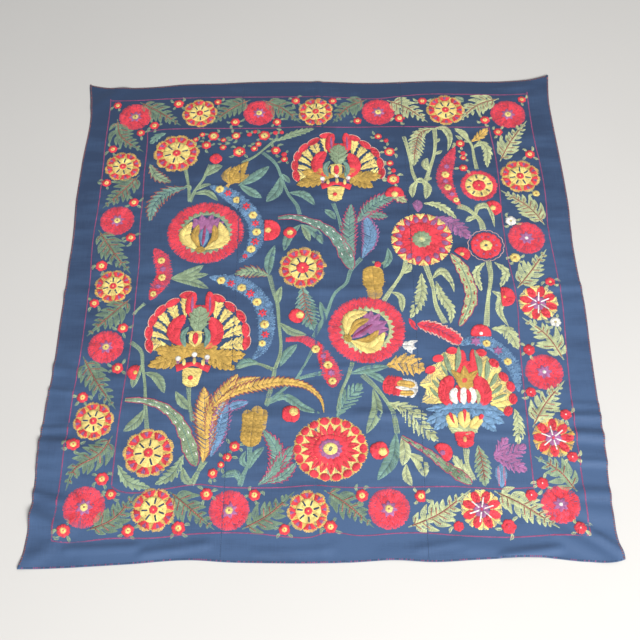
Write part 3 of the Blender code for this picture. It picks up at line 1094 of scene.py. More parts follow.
class SUZANI_OT_lines(bpy.types.Operator):
    """Stitch the two guard lines, the whipped hem and the seams"""

    bl_idname = "suzani.lines"
    bl_label = "Guard Lines, Hem and Seams"

    WHIP_STEP = 0.5

    def execute(self, context):
        guard = ThreadWork(5)
        for points in GUARD_LINES:
            band(guard, points, 0.32, "plum", rows=2)
        guard.build("guard_lines")
        hem = ThreadWork(6)
        half_x, half_y = CLOTH_WIDTH / 2 / CM, CLOTH_LENGTH / 2 / CM
        for side in ("left", "right", "bottom", "top"):
            reach = half_x if side in ("bottom", "top") else half_y
            along = np.arange(-reach + 1.2, reach - 1.0, self.WHIP_STEP)
            along += hem.random.uniform(-0.08, 0.08, len(along))
            self.whip(hem, side, along)
        hem.build("hem_stitches")
        seam = ThreadWork(7)
        for line in (LEFT_SEAM, RIGHT_SEAM):
            along = np.arange(-half_y + 1.5, half_y - 1.5, 0.55)
            x = read_curve(line, along * CM) / CM - LAYOUT_SHIFT[0]
            y = along - LAYOUT_SHIFT[1]
            starts, ends = np.stack((x - 0.09, y), 1), np.stack((x + 0.09, y + 0.10), 1)
            seam.lay(starts, ends, "navy", 0, shade=0.9, width=0.6)
        seam.build("seam_stitches", clear=False)
        return {"FINISHED"}

    def whip(self, work, side, along):
        """Slant short stitches over one edge, in turn red and dark."""
        index = ("left", "right", "bottom", "top").index(side)
        zero = np.zeros_like(along)
        x, y = (zero, along * CM) if index < 2 else (along * CM, zero)
        edge = edge_positions(x, y)[index]
        inward = 1.0 if side in ("left", "bottom") else -1.0
        outer = edge / CM + inward * 0.06
        inner = edge / CM + inward * 0.42
        if index < 2:
            starts, ends = np.stack((outer, along), 1), np.stack((inner, along + 0.15), 1)
        else:
            starts, ends = np.stack((along, outer), 1), np.stack((along + 0.15, inner), 1)
        starts, ends = starts - LAYOUT_SHIFT, ends - LAYOUT_SHIFT
        dark = "brown" if side != "bottom" else "navy"
        chosen = work.random.uniform(0.0, 1.0, len(along)) < 0.45
        work.lay(starts[chosen], ends[chosen], "plum" if side == "bottom" else "brown", 2, shade=0.95)
        work.lay(starts[~chosen], ends[~chosen], dark, 2, shade=0.75)


# Heart of a pomegranate about its middle: (colour, profile, level)
POMEGRANATE_PARTS = motifs(
    (("lilac", "blade", 2), (30, -2, -4, -26, 22, -50, 36), (34, -2, 0, -20, 28, -38, 52),
     (35, -2, 2, -9, 34, -15, 65), (35, 0, 2, 8, 32, 17, 65), (34, 0, 0, 20, 28, 39, 53),
     (30, 0, -4, 28, 22, 52, 38)),
    (("gold", "lens", 3), (24, -14, -56, -30, -14, -21, 28), (24, 5, -54, 29, -18, 23, 26)),
    (("sky", "lens", 4), (29, -5, -52, -3, 16)),
    (("yellow", "lens", 5), (32, -19, -62, -59, -16, -41, 38), (33, -3, -62, 52, -28, 39, 36)),
)


def pomegranate(work, x, y, radius, tall, turn, stem, spikes):
    """Red ringed round with yellow crescents and a lilac crown."""
    stretch = (1.0, tall)
    size = radius / 11.0

    def put(dx, dy):
        return turned((dx * size, dy * size * tall), turn) + (x, y)

    rim = scallop(radius, 26, 0.04)
    ring(work, (x, y), radius * 0.62, rim, "crimson", 0, 0.0, stretch, patchy(turn, 4), 0.025)
    ring(work, (x, y), radius * 0.56, star(radius * 0.72, 26, 0.14), spikes, 1, 0.0, stretch)
    for points, width, colour, profile, level in POMEGRANATE_PARTS:
        colour = stem if colour == "sky" else colour
        leaf(work, [put(*point) for point in points], width * size, colour, profile, level=level)
    satin(work, (put(-0.6, -4.8), put(-0.2, 2.4)), 0.9 * size, "plum", "boteh", level=5)
    blob(work, put(-1.2, -6.2), 2.8 * size, 2.0 * size, turn, "gold", 6)


def ringed_rosette(work, x, y, radius):
    """Round flower of yellow trumpets and red lobes round a sage heart."""
    ring(work, (x, y), radius * 0.60, scallop(radius, 16, 0.04), "crimson", 0, 0, shade=patchy(1.0))
    for trumpet in range(16):
        way = 22.5 * trumpet
        inner, outer = around((x, y), radius * 0.78, way), around((x, y), radius * 0.99, way)
        leaf(work, (inner, outer), radius * 0.31, "yellow", "comet", level=1)
        blob(work, around((x, y), radius * 0.76, way + 11.2), 2.0, 1.3, way, "lilac", 2)
    ring(work, (x, y), radius * 0.26, scallop(radius * 0.66, 16, 0.09), "crimson", 1, 8, shade=patchy(2.0))
    ring(work, (x, y), 0.0, star(radius * 0.33, 12, 0.14), "sage", 2, 0)
    ring(work, (x, y), 0.0, star(radius * 0.14, 8, 0.3), "pale", 3, 0)
    blob(work, (x, y), 0.7, 0.6, 20.0, "yellow", 4)


def star_rosette(work, x, y, radius, tall):
    """Round flower with an ochre rim of red petals and a many-pointed red star."""
    stretch = (1.0, tall)
    ring(work, (x, y), radius * 0.80, scallop(radius, 18, 0.03), "ochre", 0, 0.0, stretch)
    ring(work, (x, y), radius * 0.30, radius * 0.86, "yellow", 0, 0.0, stretch)
    for petal in range(18):
        way = 20.0 * petal
        spot = around((0.0, 0.0), radius * 0.87, way) * stretch + (x, y)
        blob(work, spot, radius * 0.20, radius * 0.25, way, "crimson", 2)
        root = around((0.0, 0.0), radius * 0.36, way + 10.0) * stretch + (x, y)
        tip = around((0.0, 0.0), radius * 0.80, way + 10.0) * stretch + (x, y)
        leaf(work, (root, tip), radius * 0.19, "crimson", "blade", level=1)
    ring(work, (x, y), radius * 0.24, radius * 0.46, "crimson", 2, 0.0, stretch, patchy(3.0))
    ring(work, (x, y), 0.0, star(radius * 0.33, 12, 0.15), "lilac", 3, 0.0, stretch)
    ring(work, (x, y), 0.0, radius * 0.19, "yellow", 4, 0.0, stretch)
    blob(work, (x, y), 1.4, 0.8, 60.0, "navy", 5)


def red_ringed_rosette(work, x, y, radius):
    """Red outer ring, ticked yellow ring and a red heart."""
    ring(work, (x, y), radius * 0.70, scallop(radius, 14, 0.06), "crimson", 0, 0, shade=patchy(2.0))
    ring(work, (x, y), 0.0, radius * 0.74, "yellow", 1)
    spots_round(work, x, y, radius * 0.56, 8, 10.0, radius * 0.26, radius * 0.10, "navy", 2)
    ring(work, (x, y), 0.0, scallop(radius * 0.36, 8, 0.1), "crimson", 3)
    blob(work, (x, y), 0.6, 0.5, 0.0, "yellow", 4)


def pale_ringed_rosette(work, x, y, radius):
    """Pale scalloped outline round a red disc with lilac spots."""
    edge = scallop(radius, 15, 0.07)
    ring(work, (x, y), lambda angle: edge(angle) - 0.28, edge, "blush", 0, ragged=0.0)
    ring(work, (x, y), 0.0, scallop(radius * 0.83, 15, 0.06), "crimson", 1, shade=patchy(4.0))
    spots_round(work, x, y, radius * 0.56, 10, 0.0, 0.8, 0.6, "lilac", 2)
    ring(work, (x, y), 0.0, scallop(radius * 0.34, 7, 0.12), "yellow", 2)
    blob(work, (x, y), 0.9, 0.7, 0.0, "navy", 3)


class SUZANI_OT_field_rosettes(bpy.types.Operator):
    """Stitch the round flowers and pomegranates of the field"""

    bl_idname = "suzani.field_rosettes"
    bl_label = "Field Rosettes"

    def execute(self, context):
        work = ThreadWork(8)
        sun_rosette(work, -41.9, 46.4, 6.7, 5, lobes=10, ticks=6, heart=0.19)
        sun_rosette(work, -4.4, 6.5, 6.5, 12, lobes=10, ticks=8, heart=0.28)
        sun_rosette(work, -42.6, -46.2, 6.3, 20, lobes=9, ticks=7, heart=0.20)
        red_ringed_rosette(work, 46.4, 33.3, 5.4)
        pale_ringed_rosette(work, 46.6, 13.0, 5.2)
        ringed_rosette(work, 28.9, 15.3, 8.6)
        star_rosette(work, 2.7, -45.7, 9.4, 0.895)
        work.build("field_rosettes")
        work = ThreadWork(9)
        pomegranate(work, -31.8, 18.5, 10.9, 0.94, 0, "sky", "sage")
        pomegranate(work, 12.7, -12.7, 10.4, 0.95, -52, "lilac", "pale")
        work.build("pomegranates")
        return {"FINISHED"}


# Parts of the fan flower about its middle. Rays run from root to tip. Tips: middle, way they face.
FAN_RAYS = motifs(
    ((), (29, -31, 36, -34, 98), (29, -49, 16, -71, 74), (25, -66, 2, -99, 50), (19, -68, -14, -113, 22),
     (18, -69, -29, -118, -9), (38, -70, -49, -118, -42), (30, 49, 30, 56, 86), (26, 59, 12, 86, 58),
     (26, 66, -6, 112, 32), (31, 68, -26, 124, 2), (41, 66, -54, 130, -40)),
)
FAN_TIPS = (
    ((-2.9, 10.5), 98.0), ((-6.9, 8.2), 122.0), ((-9.9, 5.9), 142.0), ((-11.7, 3.0), 160.0),
    ((-12.5, -0.6), 178.0), ((-12.1, -4.4), 192.0), ((5.4, 9.4), 68.0), ((8.9, 6.8), 48.0),
    ((11.8, 3.9), 30.0), ((13.2, -0.2), 8.0), ((13.5, -3.8), -8.0),
)
# Pale outline of a tip about its middle
FAN_RIM = ((0.2, 2.2), (0.8, 1.5), (1.15, 0.0), (0.8, -1.5), (0.2, -2.2))
# Middle of the fan flower: (colour, profile, teeth, level)
FAN_HEART = motifs(
    (("crimson", "boteh", 0, 4), (35, -34, -48, -60, -4, -34, 44), (35, 30, -58, 57, -10, 37, 36),
     (26, -16, 38, -20, 72, -10, 112)),
    (("lilac", "lens", 0, 5), (7, -14, 50, -15, 102)),
    (("crimson", "boteh", 0, 4), (26, 28, 36, 34, 74, 30, 114)),
    (("lilac", "lens", 0, 5), (6, 34, 50, 33, 102)),
    (("crimson", "boteh", 0, 4), (46, 9, 30, 11, 74)),
    (("sage", "lens", 5, 5), (60, 4, -14, 8, 70)),
    (("teal", "boteh", 0, 5), (15, -26, -50, -34, -14, -20, 8), (15, 26, -52, 33, -16, 22, 6)),
    (("yellow", "boteh", 0, 6), (44, 0, -50, 0, -4)),
    (("crimson", "boteh", 0, 7), (15, 0, -43, 0, -9)),
    (("navy", "lens", 0, 7), (6, -17, -42, -21, -26, -17, -9), (6, 17, -42, 21, -26, 17, -9)),
)
# Collar and cup below it, which hang lower or higher in each flower, with the same fields
FAN_COLLAR = motifs(
    (("gold", "lens", 6, 3), (46, 4, -64, -50, -66, -104, -56)),
    (("gold", "lens", 7, 3), (50, 4, -66, -54, -84, -120, -104), (48, 4, -66, 58, -88, 108, -116)),
    (("gold", "lens", 6, 3), (44, 26, -64, 80, -78, 134, -74)),
    (("gold", "lens", 8, 4), (50, -56, -50, 2, -58, 60, -52)),
    (("navy", "boteh", 0, 4), (28, -42, -106, 0, -92, 40, -108)),
    (("crimson", "stalk", 0, 5), (20, -46, -112, 0, -100, 42, -116)),
    (("yellow", "cup", 0, 4), (54, -7, -165, -2, -111)),
)


def fan_palmette(work, x, y, size, lift):
    """Fan of yellow rays with red tips over a green heart, an ochre collar and a yellow cup."""

    def put(place, rise=0.0):
        return x + place[0] * size, y + (place[1] + rise) * size

    for (root, tip), width in FAN_RAYS:
        bend = ((root[0] + tip[0]) / 2, (root[1] + tip[1]) / 2 + 0.3)
        leaf(work, (put(root), put(bend), put(tip)), width * 1.15 * size, "yellow", "comet", 5, 0.34)
    for middle, way in FAN_TIPS:
        place = put(middle)
        blob(work, place, 4.4 * size, 2.0 * size, way + 90.0, "crimson", 2)
        rim = [place + turned((np.multiply(point, size),), way)[0] for point in FAN_RIM]
        band(work, rim, 0.2, "blush", level=3, rows=1)
    for points, width, colour, profile, teeth, level in FAN_HEART:
        leaf(work, [put(point) for point in points], width * size, colour, profile, teeth, 0.25, level=level)
    for points, width, colour, profile, teeth, level in FAN_COLLAR:
        points = [put(point, lift) for point in points]
        if profile in ("stalk", "cup"):
            satin(work, points, width * size, colour, profile, level)
        else:
            leaf(work, points, width * size, colour, profile, teeth, 0.32, level=level)
    for ball_x, ball_y in ((-4.2, -8.4), (0.0, -7.3), (3.4, -8.1)):
        place = put((ball_x, ball_y), lift)
        blob(work, (place[0], place[1] - 0.7), 1.8 * size, 0.8 * size, 90.0, "lilac", 5)
        ring(work, place, 0.0, 0.75 * size, "white", 6)
    for oval_x, oval_y in ((-2.6, -9.5), (0.1, -9.1), (2.4, -9.6)):
        blob(work, put((oval_x, oval_y), lift), 2.0 * size, 0.9 * size, 90.0, "yellow", 6)
    ring(work, put((-0.6, -14.0), lift), 0.0, 0.7 * size, "crimson", 6)


# Spiky flower: (colour, profile, teeth, level). Its tips: x, y, way they face.
SPIKY_PARTS = motifs(
    (("yellow", "comet", 0, 0), (48, 326, -334, 298, -326, 268, -314),
     (50, 328, -316, 300, -294, 272, -268), (46, 336, -294, 318, -260, 302, -228),
     (38, 352, -274, 344, -234, 334, -194), (39, 412, -284, 420, -244, 424, -206),
     (46, 422, -296, 438, -264, 452, -232), (46, 424, -316, 450, -292, 472, -266),
     (42, 426, -334, 458, -316, 486, -300), (34, 426, -346, 460, -336, 492, -326),
     (34, 426, -354, 456, -352, 486, -348)),
    (("sage", "lens", 0, 2), (9, 314, -330, 296, -312, 282, -292), (9, 318, -306, 302, -288, 290, -272),
     (9, 334, -268, 324, -246, 316, -228), (14, 344, -264, 334, -232, 327, -196)),
    (("sage", "lens", 0, 3), (15, 352, -254, 362, -220, 366, -178),
     (15, 414, -272, 416, -230, 406, -188)),
    (("sage", "lens", 0, 2), (14, 428, -278, 435, -250, 438, -218), (12, 436, -296, 450, -276, 459, -256),
     (10, 438, -316, 458, -302, 470, -288), (8, 440, -332, 464, -322, 480, -316)),
    (("crimson", "boteh", 0, 2), (23, 378, -264, 372, -228, 373, -190),
     (21, 394, -264, 402, -228, 402, -188), (58, 382, -284, 382, -222)),
    (("crimson", "boteh", 0, 3), (37, 332, -350, 322, -312, 339, -264),
     (37, 416, -350, 422, -312, 404, -266)),
    (("crimson", "boteh", 0, 2), (60, 336, -319, 373, -315, 410, -319)),
    (("gold", "blade", 0, 4), (26, 374, -302, 364, -274, 340, -246),
     (26, 374, -302, 384, -274, 412, -248), (32, 374, -302, 375, -274, 376, -234)),
    (("gold", "boteh", 0, 4), (28, 356, -284, 375, -288, 394, -284)),
    (("white", "boteh", 0, 5), (20, 349, -341, 341, -320, 350, -298),
     (20, 368, -343, 365, -320, 372, -297), (19, 389, -341, 392, -320, 388, -297)),
    (("pale", "boteh", 0, 5), (9, 403, -342, 406, -320, 401, -302)),
    (("crimson", "boteh", 0, 6), (11, 379, -340, 382, -318, 378, -302),
     (8, 357, -334, 355, -316, 360, -304)),
    (("sky", "lens", 5, 2), (26, 362, -352, 316, -352, 268, -356)),
    (("sky", "lens", 6, 2), (36, 362, -360, 316, -372, 268, -390)),
    (("sky", "lens", 5, 2), (30, 352, -370, 316, -386, 286, -410), (28, 374, -350, 426, -354, 468, -374)),
    (("sky", "lens", 6, 2), (36, 376, -364, 424, -376, 464, -394)),
    (("sky", "lens", 5, 2), (32, 384, -374, 418, -392, 442, -416)),
    (("sky", "boteh", 7, 3), (42, 306, -358, 372, -353, 440, -360)),
    (("yellow", "boteh", 0, 5), (26, 346, -404, 334, -388, 329, -369),
     (30, 364, -406, 364, -386, 365, -362), (25, 378, -406, 392, -394, 406, -380)),
    (("crimson", "comet", 0, 6), (9, 340, -396, 334, -382, 329, -366),
     (9, 365, -392, 366, -378, 367, -356)),
    (("crimson", "boteh", 0, 6), (11, 403, -384, 411, -372)),
)
SPIKY_TIPS = (
    (28.8, -24.6, 118), (31.0, -21.4, 104), (34.8, -19.2, 96), (42.3, -19.9, 78), (45.4, -22.9, 46),
    (47.5, -26.8, 36), (49.0, -29.5, 14), (49.3, -32.9, -4), (47.7, -36.3, -30),
)


def spiky_palmette(work):
    """Fan of yellow petals over a red dome, a light blue spiky collar and a red cup."""
    for points, width, colour, profile, teeth, level in SPIKY_PARTS:
        leaf(work, points, width, colour, profile, teeth, 0.34, level=level)
    for x, y, way in SPIKY_TIPS:
        blob(work, (x, y), 3.0, 2.1, way + 90.0, "crimson", 3)
    blob(work, (37.4, -27.7), 1.5, 1.2, 45.0, "crimson", 5)
    satin(work, ((36.2, -42.4), (36.2, -39.6)), 8.4, "pale", "cup", level=4)
    satin(work, ((36.2, -45.8), (36.2, -41.6)), 5.2, "crimson", "cup", level=5)
    blob(work, (36.2, -43.6), 1.6, 0.8, 90.0, "yellow", 6)


class SUZANI_OT_palmettes(bpy.types.Operator):
    """Stitch the three great fan flowers"""

    bl_idname = "suzani.palmettes"
    bl_label = "Palmettes"

    def execute(self, context):
        work = ThreadWork(10)
        fan_palmette(work, 5.4, 41.9, 0.97, 2.6)
        fan_palmette(work, -32.7, -12.2, 1.0, 0.0)
        spiky_palmette(work)
        work.build("palmettes")
        return {"FINISHED"}


# Long curled botehs: points, width, colour, profile, then rows of (x, y, kind, radius) along them
BOTEHS = (
    (((-31.5, 34.5), (-26, 31.5), (-21, 27), (-17.5, 20), (-18, 14), (-22, 8.5)), 4.8, "sky", "boteh",
     ((-28.5, 33.2, "sun", 1.3), (-26, 31.8, "spider", 1.1), (-23.4, 29.4, "sun", 1.2),
      (-20.6, 27.2, "spider", 1.2), (-18.6, 24.1, "sun", 1.3), (-17.8, 21.3, "spider", 1.1),
      (-17.4, 18.4, "sun", 1.3),
      (-17.8, 15.2, "spider", 1.2), (-18.8, 12.8, "sun", 1.3), (-20.4, 10.5, "spider", 0.8))),
    (((-30, 4), (-24, 2.5), (-19, 0), (-15, -5), (-14, -12), (-15, -18), (-17.5, -21)), 4.8, "sky", "boteh",
     ((-26.7, 2.8, "sun", 1.2), (-24, 1.9, "spider", 1.1), (-21, 0.4, "sun", 1.3),
      (-18.6, -1.4, "spider", 1.2), (-16.7, -4.0, "sun", 1.3), (-15.1, -7.3, "spider", 1.2),
      (-14.5, -10.8, "sun", 1.3),
      (-14.3, -13.8, "spider", 1.1), (-15.0, -16.4, "sun", 1.0))),
    (((37, -17.5), (41, -16), (46, -18), (50, -23), (51, -31)), 3.8, "sky", "boteh",
     ((41.2, -16.5, "white", 1.2), (44, -17.2, "sun", 1.1), (46.8, -19.3, "white", 1.1),
      (49, -22.5, "sun", 1.1))),
    (((-45.8, 13.4), (-43.3, 9), (-42.6, 4), (-44, 1), (-45.8, -3)), 4.6, "crimson", "boteh",
     ((-43.6, 9.4, "sun", 1.1), (-43.0, 6.7, "white", 0.9), (-43.0, 4.0, "sun", 1.1),
      (-43.9, 1.2, "white", 0.8), (-45.0, -1.2, "sun", 0.9))),
    (((40.6, 47.6), (38.2, 42), (36.6, 36), (37.8, 31), (40.8, 26.0)), 5.1, "crimson", "lens",
     ((37.6, 40.2, "white", 0.9), (37.0, 37.3, "sun", 1.2), (36.9, 35.0, "white", 0.8),
      (37.4, 32.8, "sun", 1.1), (38.4, 30.4, "white", 0.8), (39.5, 28.4, "sun", 0.9))),
    (((-8.8, -15.4), (-4, -15.4), (-0.4, -18), (2.0, -22), (3.4, -26), (3.4, -29.2)), 5.5,
     "crimson", "swell", ((-0.9, -18.3, "sun", 1.2), (1.1, -20.4, "white", 0.8), (2.3, -22.9, "sun", 1.2),
      (3.1, -25.1, "white", 0.9), (3.4, -27.4, "sun", 1.1))),
)

# Long pods: (colour, profile, colour of the ticks)
PODS = motifs(
    (("teal", "swell", "white"), (49, -115, 230, -75, 233, -20, 215, 30, 184, 62, 140, 82, 90, 92, 58)),
    (("sage", "swell", "white"),
     (46, -498, -320, -450, -323, -400, -340, -360, -375, -335, -420, -320, -460, -305, -498)),
    (("pale", "boteh", "crimson"), (36, 365, 105, 390, 65, 405, 20, 412, -30, 395, -80, 373, -120)),
    (("sage", "swell", "rose"), (33, 204, -426, 240, -450, 270, -470, 310, -505, 340, -527, 370, -550)),
)

# Flowers that end the stems: x, y, radius, way they face in degrees, outline, heart thread and its size
HALF_FLOWERS = (
    (-14.2, 18.9, 3.5, 0, "half", "yellow", 0.27), (-8.0, 18.0, 1.9, 0, "full", "yellow", 0.50),
    (22.0, 30.6, 2.7, 90, "half", "yellow", 0.38), (-5.9, -8.4, 2.2, 15, "side", "yellow", 0.50),
    (-7.2, -36.4, 2.4, 40, "side", "yellow", 0.52), (14.8, -46.3, 2.4, -20, "side", "yellow", 0.48),
    (-47.8, -24.4, 2.1, 165, "half", "ochre", 0.30), (49.7, 25.4, 2.5, 25, "half", "yellow", 0.35),
    (39.7, 10.2, 2.3, 50, "half", "yellow", 0.28), (50.1, -3.4, 2.9, 0, "half", "ochre", 0.16),
    (42.8, -14.3, 2.7, 90, "half", "white", 0.20), (30.4, -47.0, 2.5, 35, "half", "lilac", 0.30),
    (-30.1, 44.1, 1.9, 0, "full", "rose", 0.22),
)

# Buds, plumes and odd leaves: (colour, style, level where above 0)
FANCIES = motifs(
    (("gold", "blade"), (26, -258, 352, -270, 382, -254, 414)),
    (("gold", "blade", 1), (46, -252, 350, -236, 388, -205, 432)),
    (("gold", "blade"), (26, -244, 356, -224, 368, -200, 384)),
    (("gold", "bulb"), (36, -264, 372, -218, 370), (43, 153, -36, 151, 30)),
    (("gold", "bulb", 1), (57, 150, -8, 148, 68), (54, -174, -449, -166, -358)),
    (("gold", "bulb"), (27, -181, -410, -183, -351), (31, -159, -400, -158, -340),
     (25, -148, -410, -141, -350)),
    (("ochre", "saw"), (32, 456, 492, 480, 510, 508, 542), (66, 176, -232, 220, -226, 274, -246)),
    (("ochre", "ochre"), (64, -289, -490, -285, -430, -291, -365, -297, -286),
     (52, -285, -426, -264, -340, -236, -290, -210, -250)),
    (("ochre", "tail", 1),
     (40, -272, -340, -220, -304, -150, -282, -80, -275, -26, -292, 6, -330, 12, -368)),
    (("ochre", "gold"), (32, -246, -300, -202, -274, -150, -260)),
    (("sky", "plum"), (54, -270, -474, -254, -410, -244, -350, -242, -316),
     (30, -252, -362, -224, -342, -180, -329), (54, 122, 94, 146, 164, 132, 238)),
    (("lilac", "saw"), (54, 320, 226, 374, 204, 428, 152)),
    (("lilac", "plain"), (29, 284, 244, 284, 286)),
    (("lilac", "sharp"), (34, 430, -480, 450, -460, 466, -432), (44, 430, -480, 472, -474, 512, -452),
     (42, 430, -484, 470, -498, 508, -518)),
    (("sky", "plain"), (30, 442, -560, 444, -500)),
    (("crimson", "plain"), (7, 436, -558, 438, -504), (7, 450, -558, 452, -504)),
    (("crimson", "lined"), (43, 262, -112, 314, -128, 375, -168)),
    (("crimson", "plain"), (16, 240, -95, 260, -130)),
    (("white", "bulb"), (25, 220, -174, 250, -177)),
    (("white", "blade"), (13, 230, -170, 262, -161), (16, 234, -178, 243, -200),
     (12, 236, -180, 257, -184)),
    (("white", "bulb"), (50, 190, -292, 253, -299)),
    (("ochre", "bulb", 2), (19, 200, -282, 246, -288), (15, 206, -310, 242, -310)),
    (("crimson", "bulb", 1), (52, 164, -283, 218, -294)),
    (("white", "plain", 3), (10, 194, -293, 234, -300)),
)


class SUZANI_OT_botehs(bpy.types.Operator):
    """Stitch the curled botehs, the pods, the buds and the half flowers"""

    bl_idname = "suzani.botehs"
    bl_label = "Botehs and Buds"

    def execute(self, context):
        work = ThreadWork(11)
        for points, width, colour, profile, flowers in BOTEHS:
            satin(work, points, width, colour, profile, level=0, teeth=22, depth=0.14, ragged=0.08)
            if colour == "sky":
                flecks(work, points, width * 0.9, ("navy", "sky"), 1)
            for x, y, kind, radius in flowers:
                if kind == "white":
                    ring(work, (x, y), 0.0, star(radius * 1.2, 6, 0.45), "lilac", 2)
                else:
                    floret(work, x, y, radius, kind)
        for points, width, colour, profile, ticks in PODS:
            satin(work, points, width, colour, profile, level=1, teeth=7, depth=0.22, edge="rose")
            path = Path(points)
            marks = np.arange(0.10, 0.90, 1.5 / path.length)
            marks = marks + work.random.uniform(-0.4, 0.4, len(marks)) / path.length
            reach = width * 0.24 * widths(profile, marks) * np.where(np.arange(len(marks)) % 2, 1.0, -1.0)
            middle = path.at(marks, reach)
            along = path.at(marks + 0.9 / path.length) - path.at(marks)
            work.lay(middle, middle + along, ticks, 3, width=1.3)
            band(work, points, 0.3, "teal", level=2, rows=1)
        work.build("botehs_and_pods")
        work = ThreadWork(12)
        curls(work, FANCIES)
        for x, y, radius, way, kind, colour, size in HALF_FLOWERS:
            outline = cut_disc(radius) if kind == "half" else scallop(radius, 4, 0.12)
            ring(work, (x, y), 0.0, outline, "crimson", 4, way, shade=patchy(x))
            heart = around((x, y), radius * (0.38 if kind == "side" else 0.0), way)
            ring(work, heart, 0.0, scallop(radius * size, 5, 0.15), colour, 5, way)
        work.build("buds_and_plumes")
        return {"FINISHED"}


# Stems, by colour
STEMS = motifs(
    (("sage",), (10, -118, 518, -160, 475, -184, 450, -225, 425)),
    (("teal",), (12, -165, 464, -124, 420, -105, 365, -85, 310, -60, 270, -53, 240)),
    (("sage",), (12, -389, 406, -378, 355, -369, 289), (12, -316, 422, -334, 370, -360, 320, -369, 288)),
    (("ochre",), (12, -266, 338, -252, 360)),
    (("sage",), (10, -470, -40, -485, -55, -500, -75)),
    (("teal",), (13, 42, 280, 55, 240, 67, 180),
     (13, 120, 95, 88, 55, 75, 15, 45, -15, 20, -80, 5, -110, -15, -150)),
    (("sage",),
     (13, -135, 45, -125, 0, -113, -40, -107, -100, -103, -200, -115, -240, -120, -270, -135, -340)),
    (("teal",), (12, -138, -340, -96, -300, -60, -270, -30, -259, 6, -253),
     (9, -62, -274, -36, -224, -18, -186)),
    (("sage",), (11, -120, -240, -160, -223, -215, -233)),
    (("pale",), (14, 243, 92, 234, 56, 204, 4, 174, -42)),
    (("sage",), (12, 88, -220, 75, -260, 55, -310, 48, -360),
     (15, 110, -255, 150, -300, 185, -360, 195, -420),
     (12, -500, -155, -470, -180, -460, -230, -450, -280, -445, -330, -435, -400),
     (13, -337, -285, -332, -330, -320, -382)),
    (("teal",), (14, -174, -447, -176, -490, -188, -524, -196, -550)),
    (("sage",), (18, -285, -483, -315, -545)),
    (("pale",), (12, 256, 516, 264, 474, 270, 430, 276, 380, 287, 344),
     (14, 349, 546, 349, 500, 343, 450, 328, 400, 316, 364, 306, 336),
     (12, 413, 538, 440, 510, 455, 480, 458, 440, 463, 390),
     (19, 396, 264, 420, 255, 442, 234, 460, 205, 463, 180), (16, 294, 72, 310, 0, 316, -60, 336, -112),
     (16, 468, 82, 470, 30, 458, -30, 444, -122), (17, 364, -458, 362, -490, 374, -542)),
)

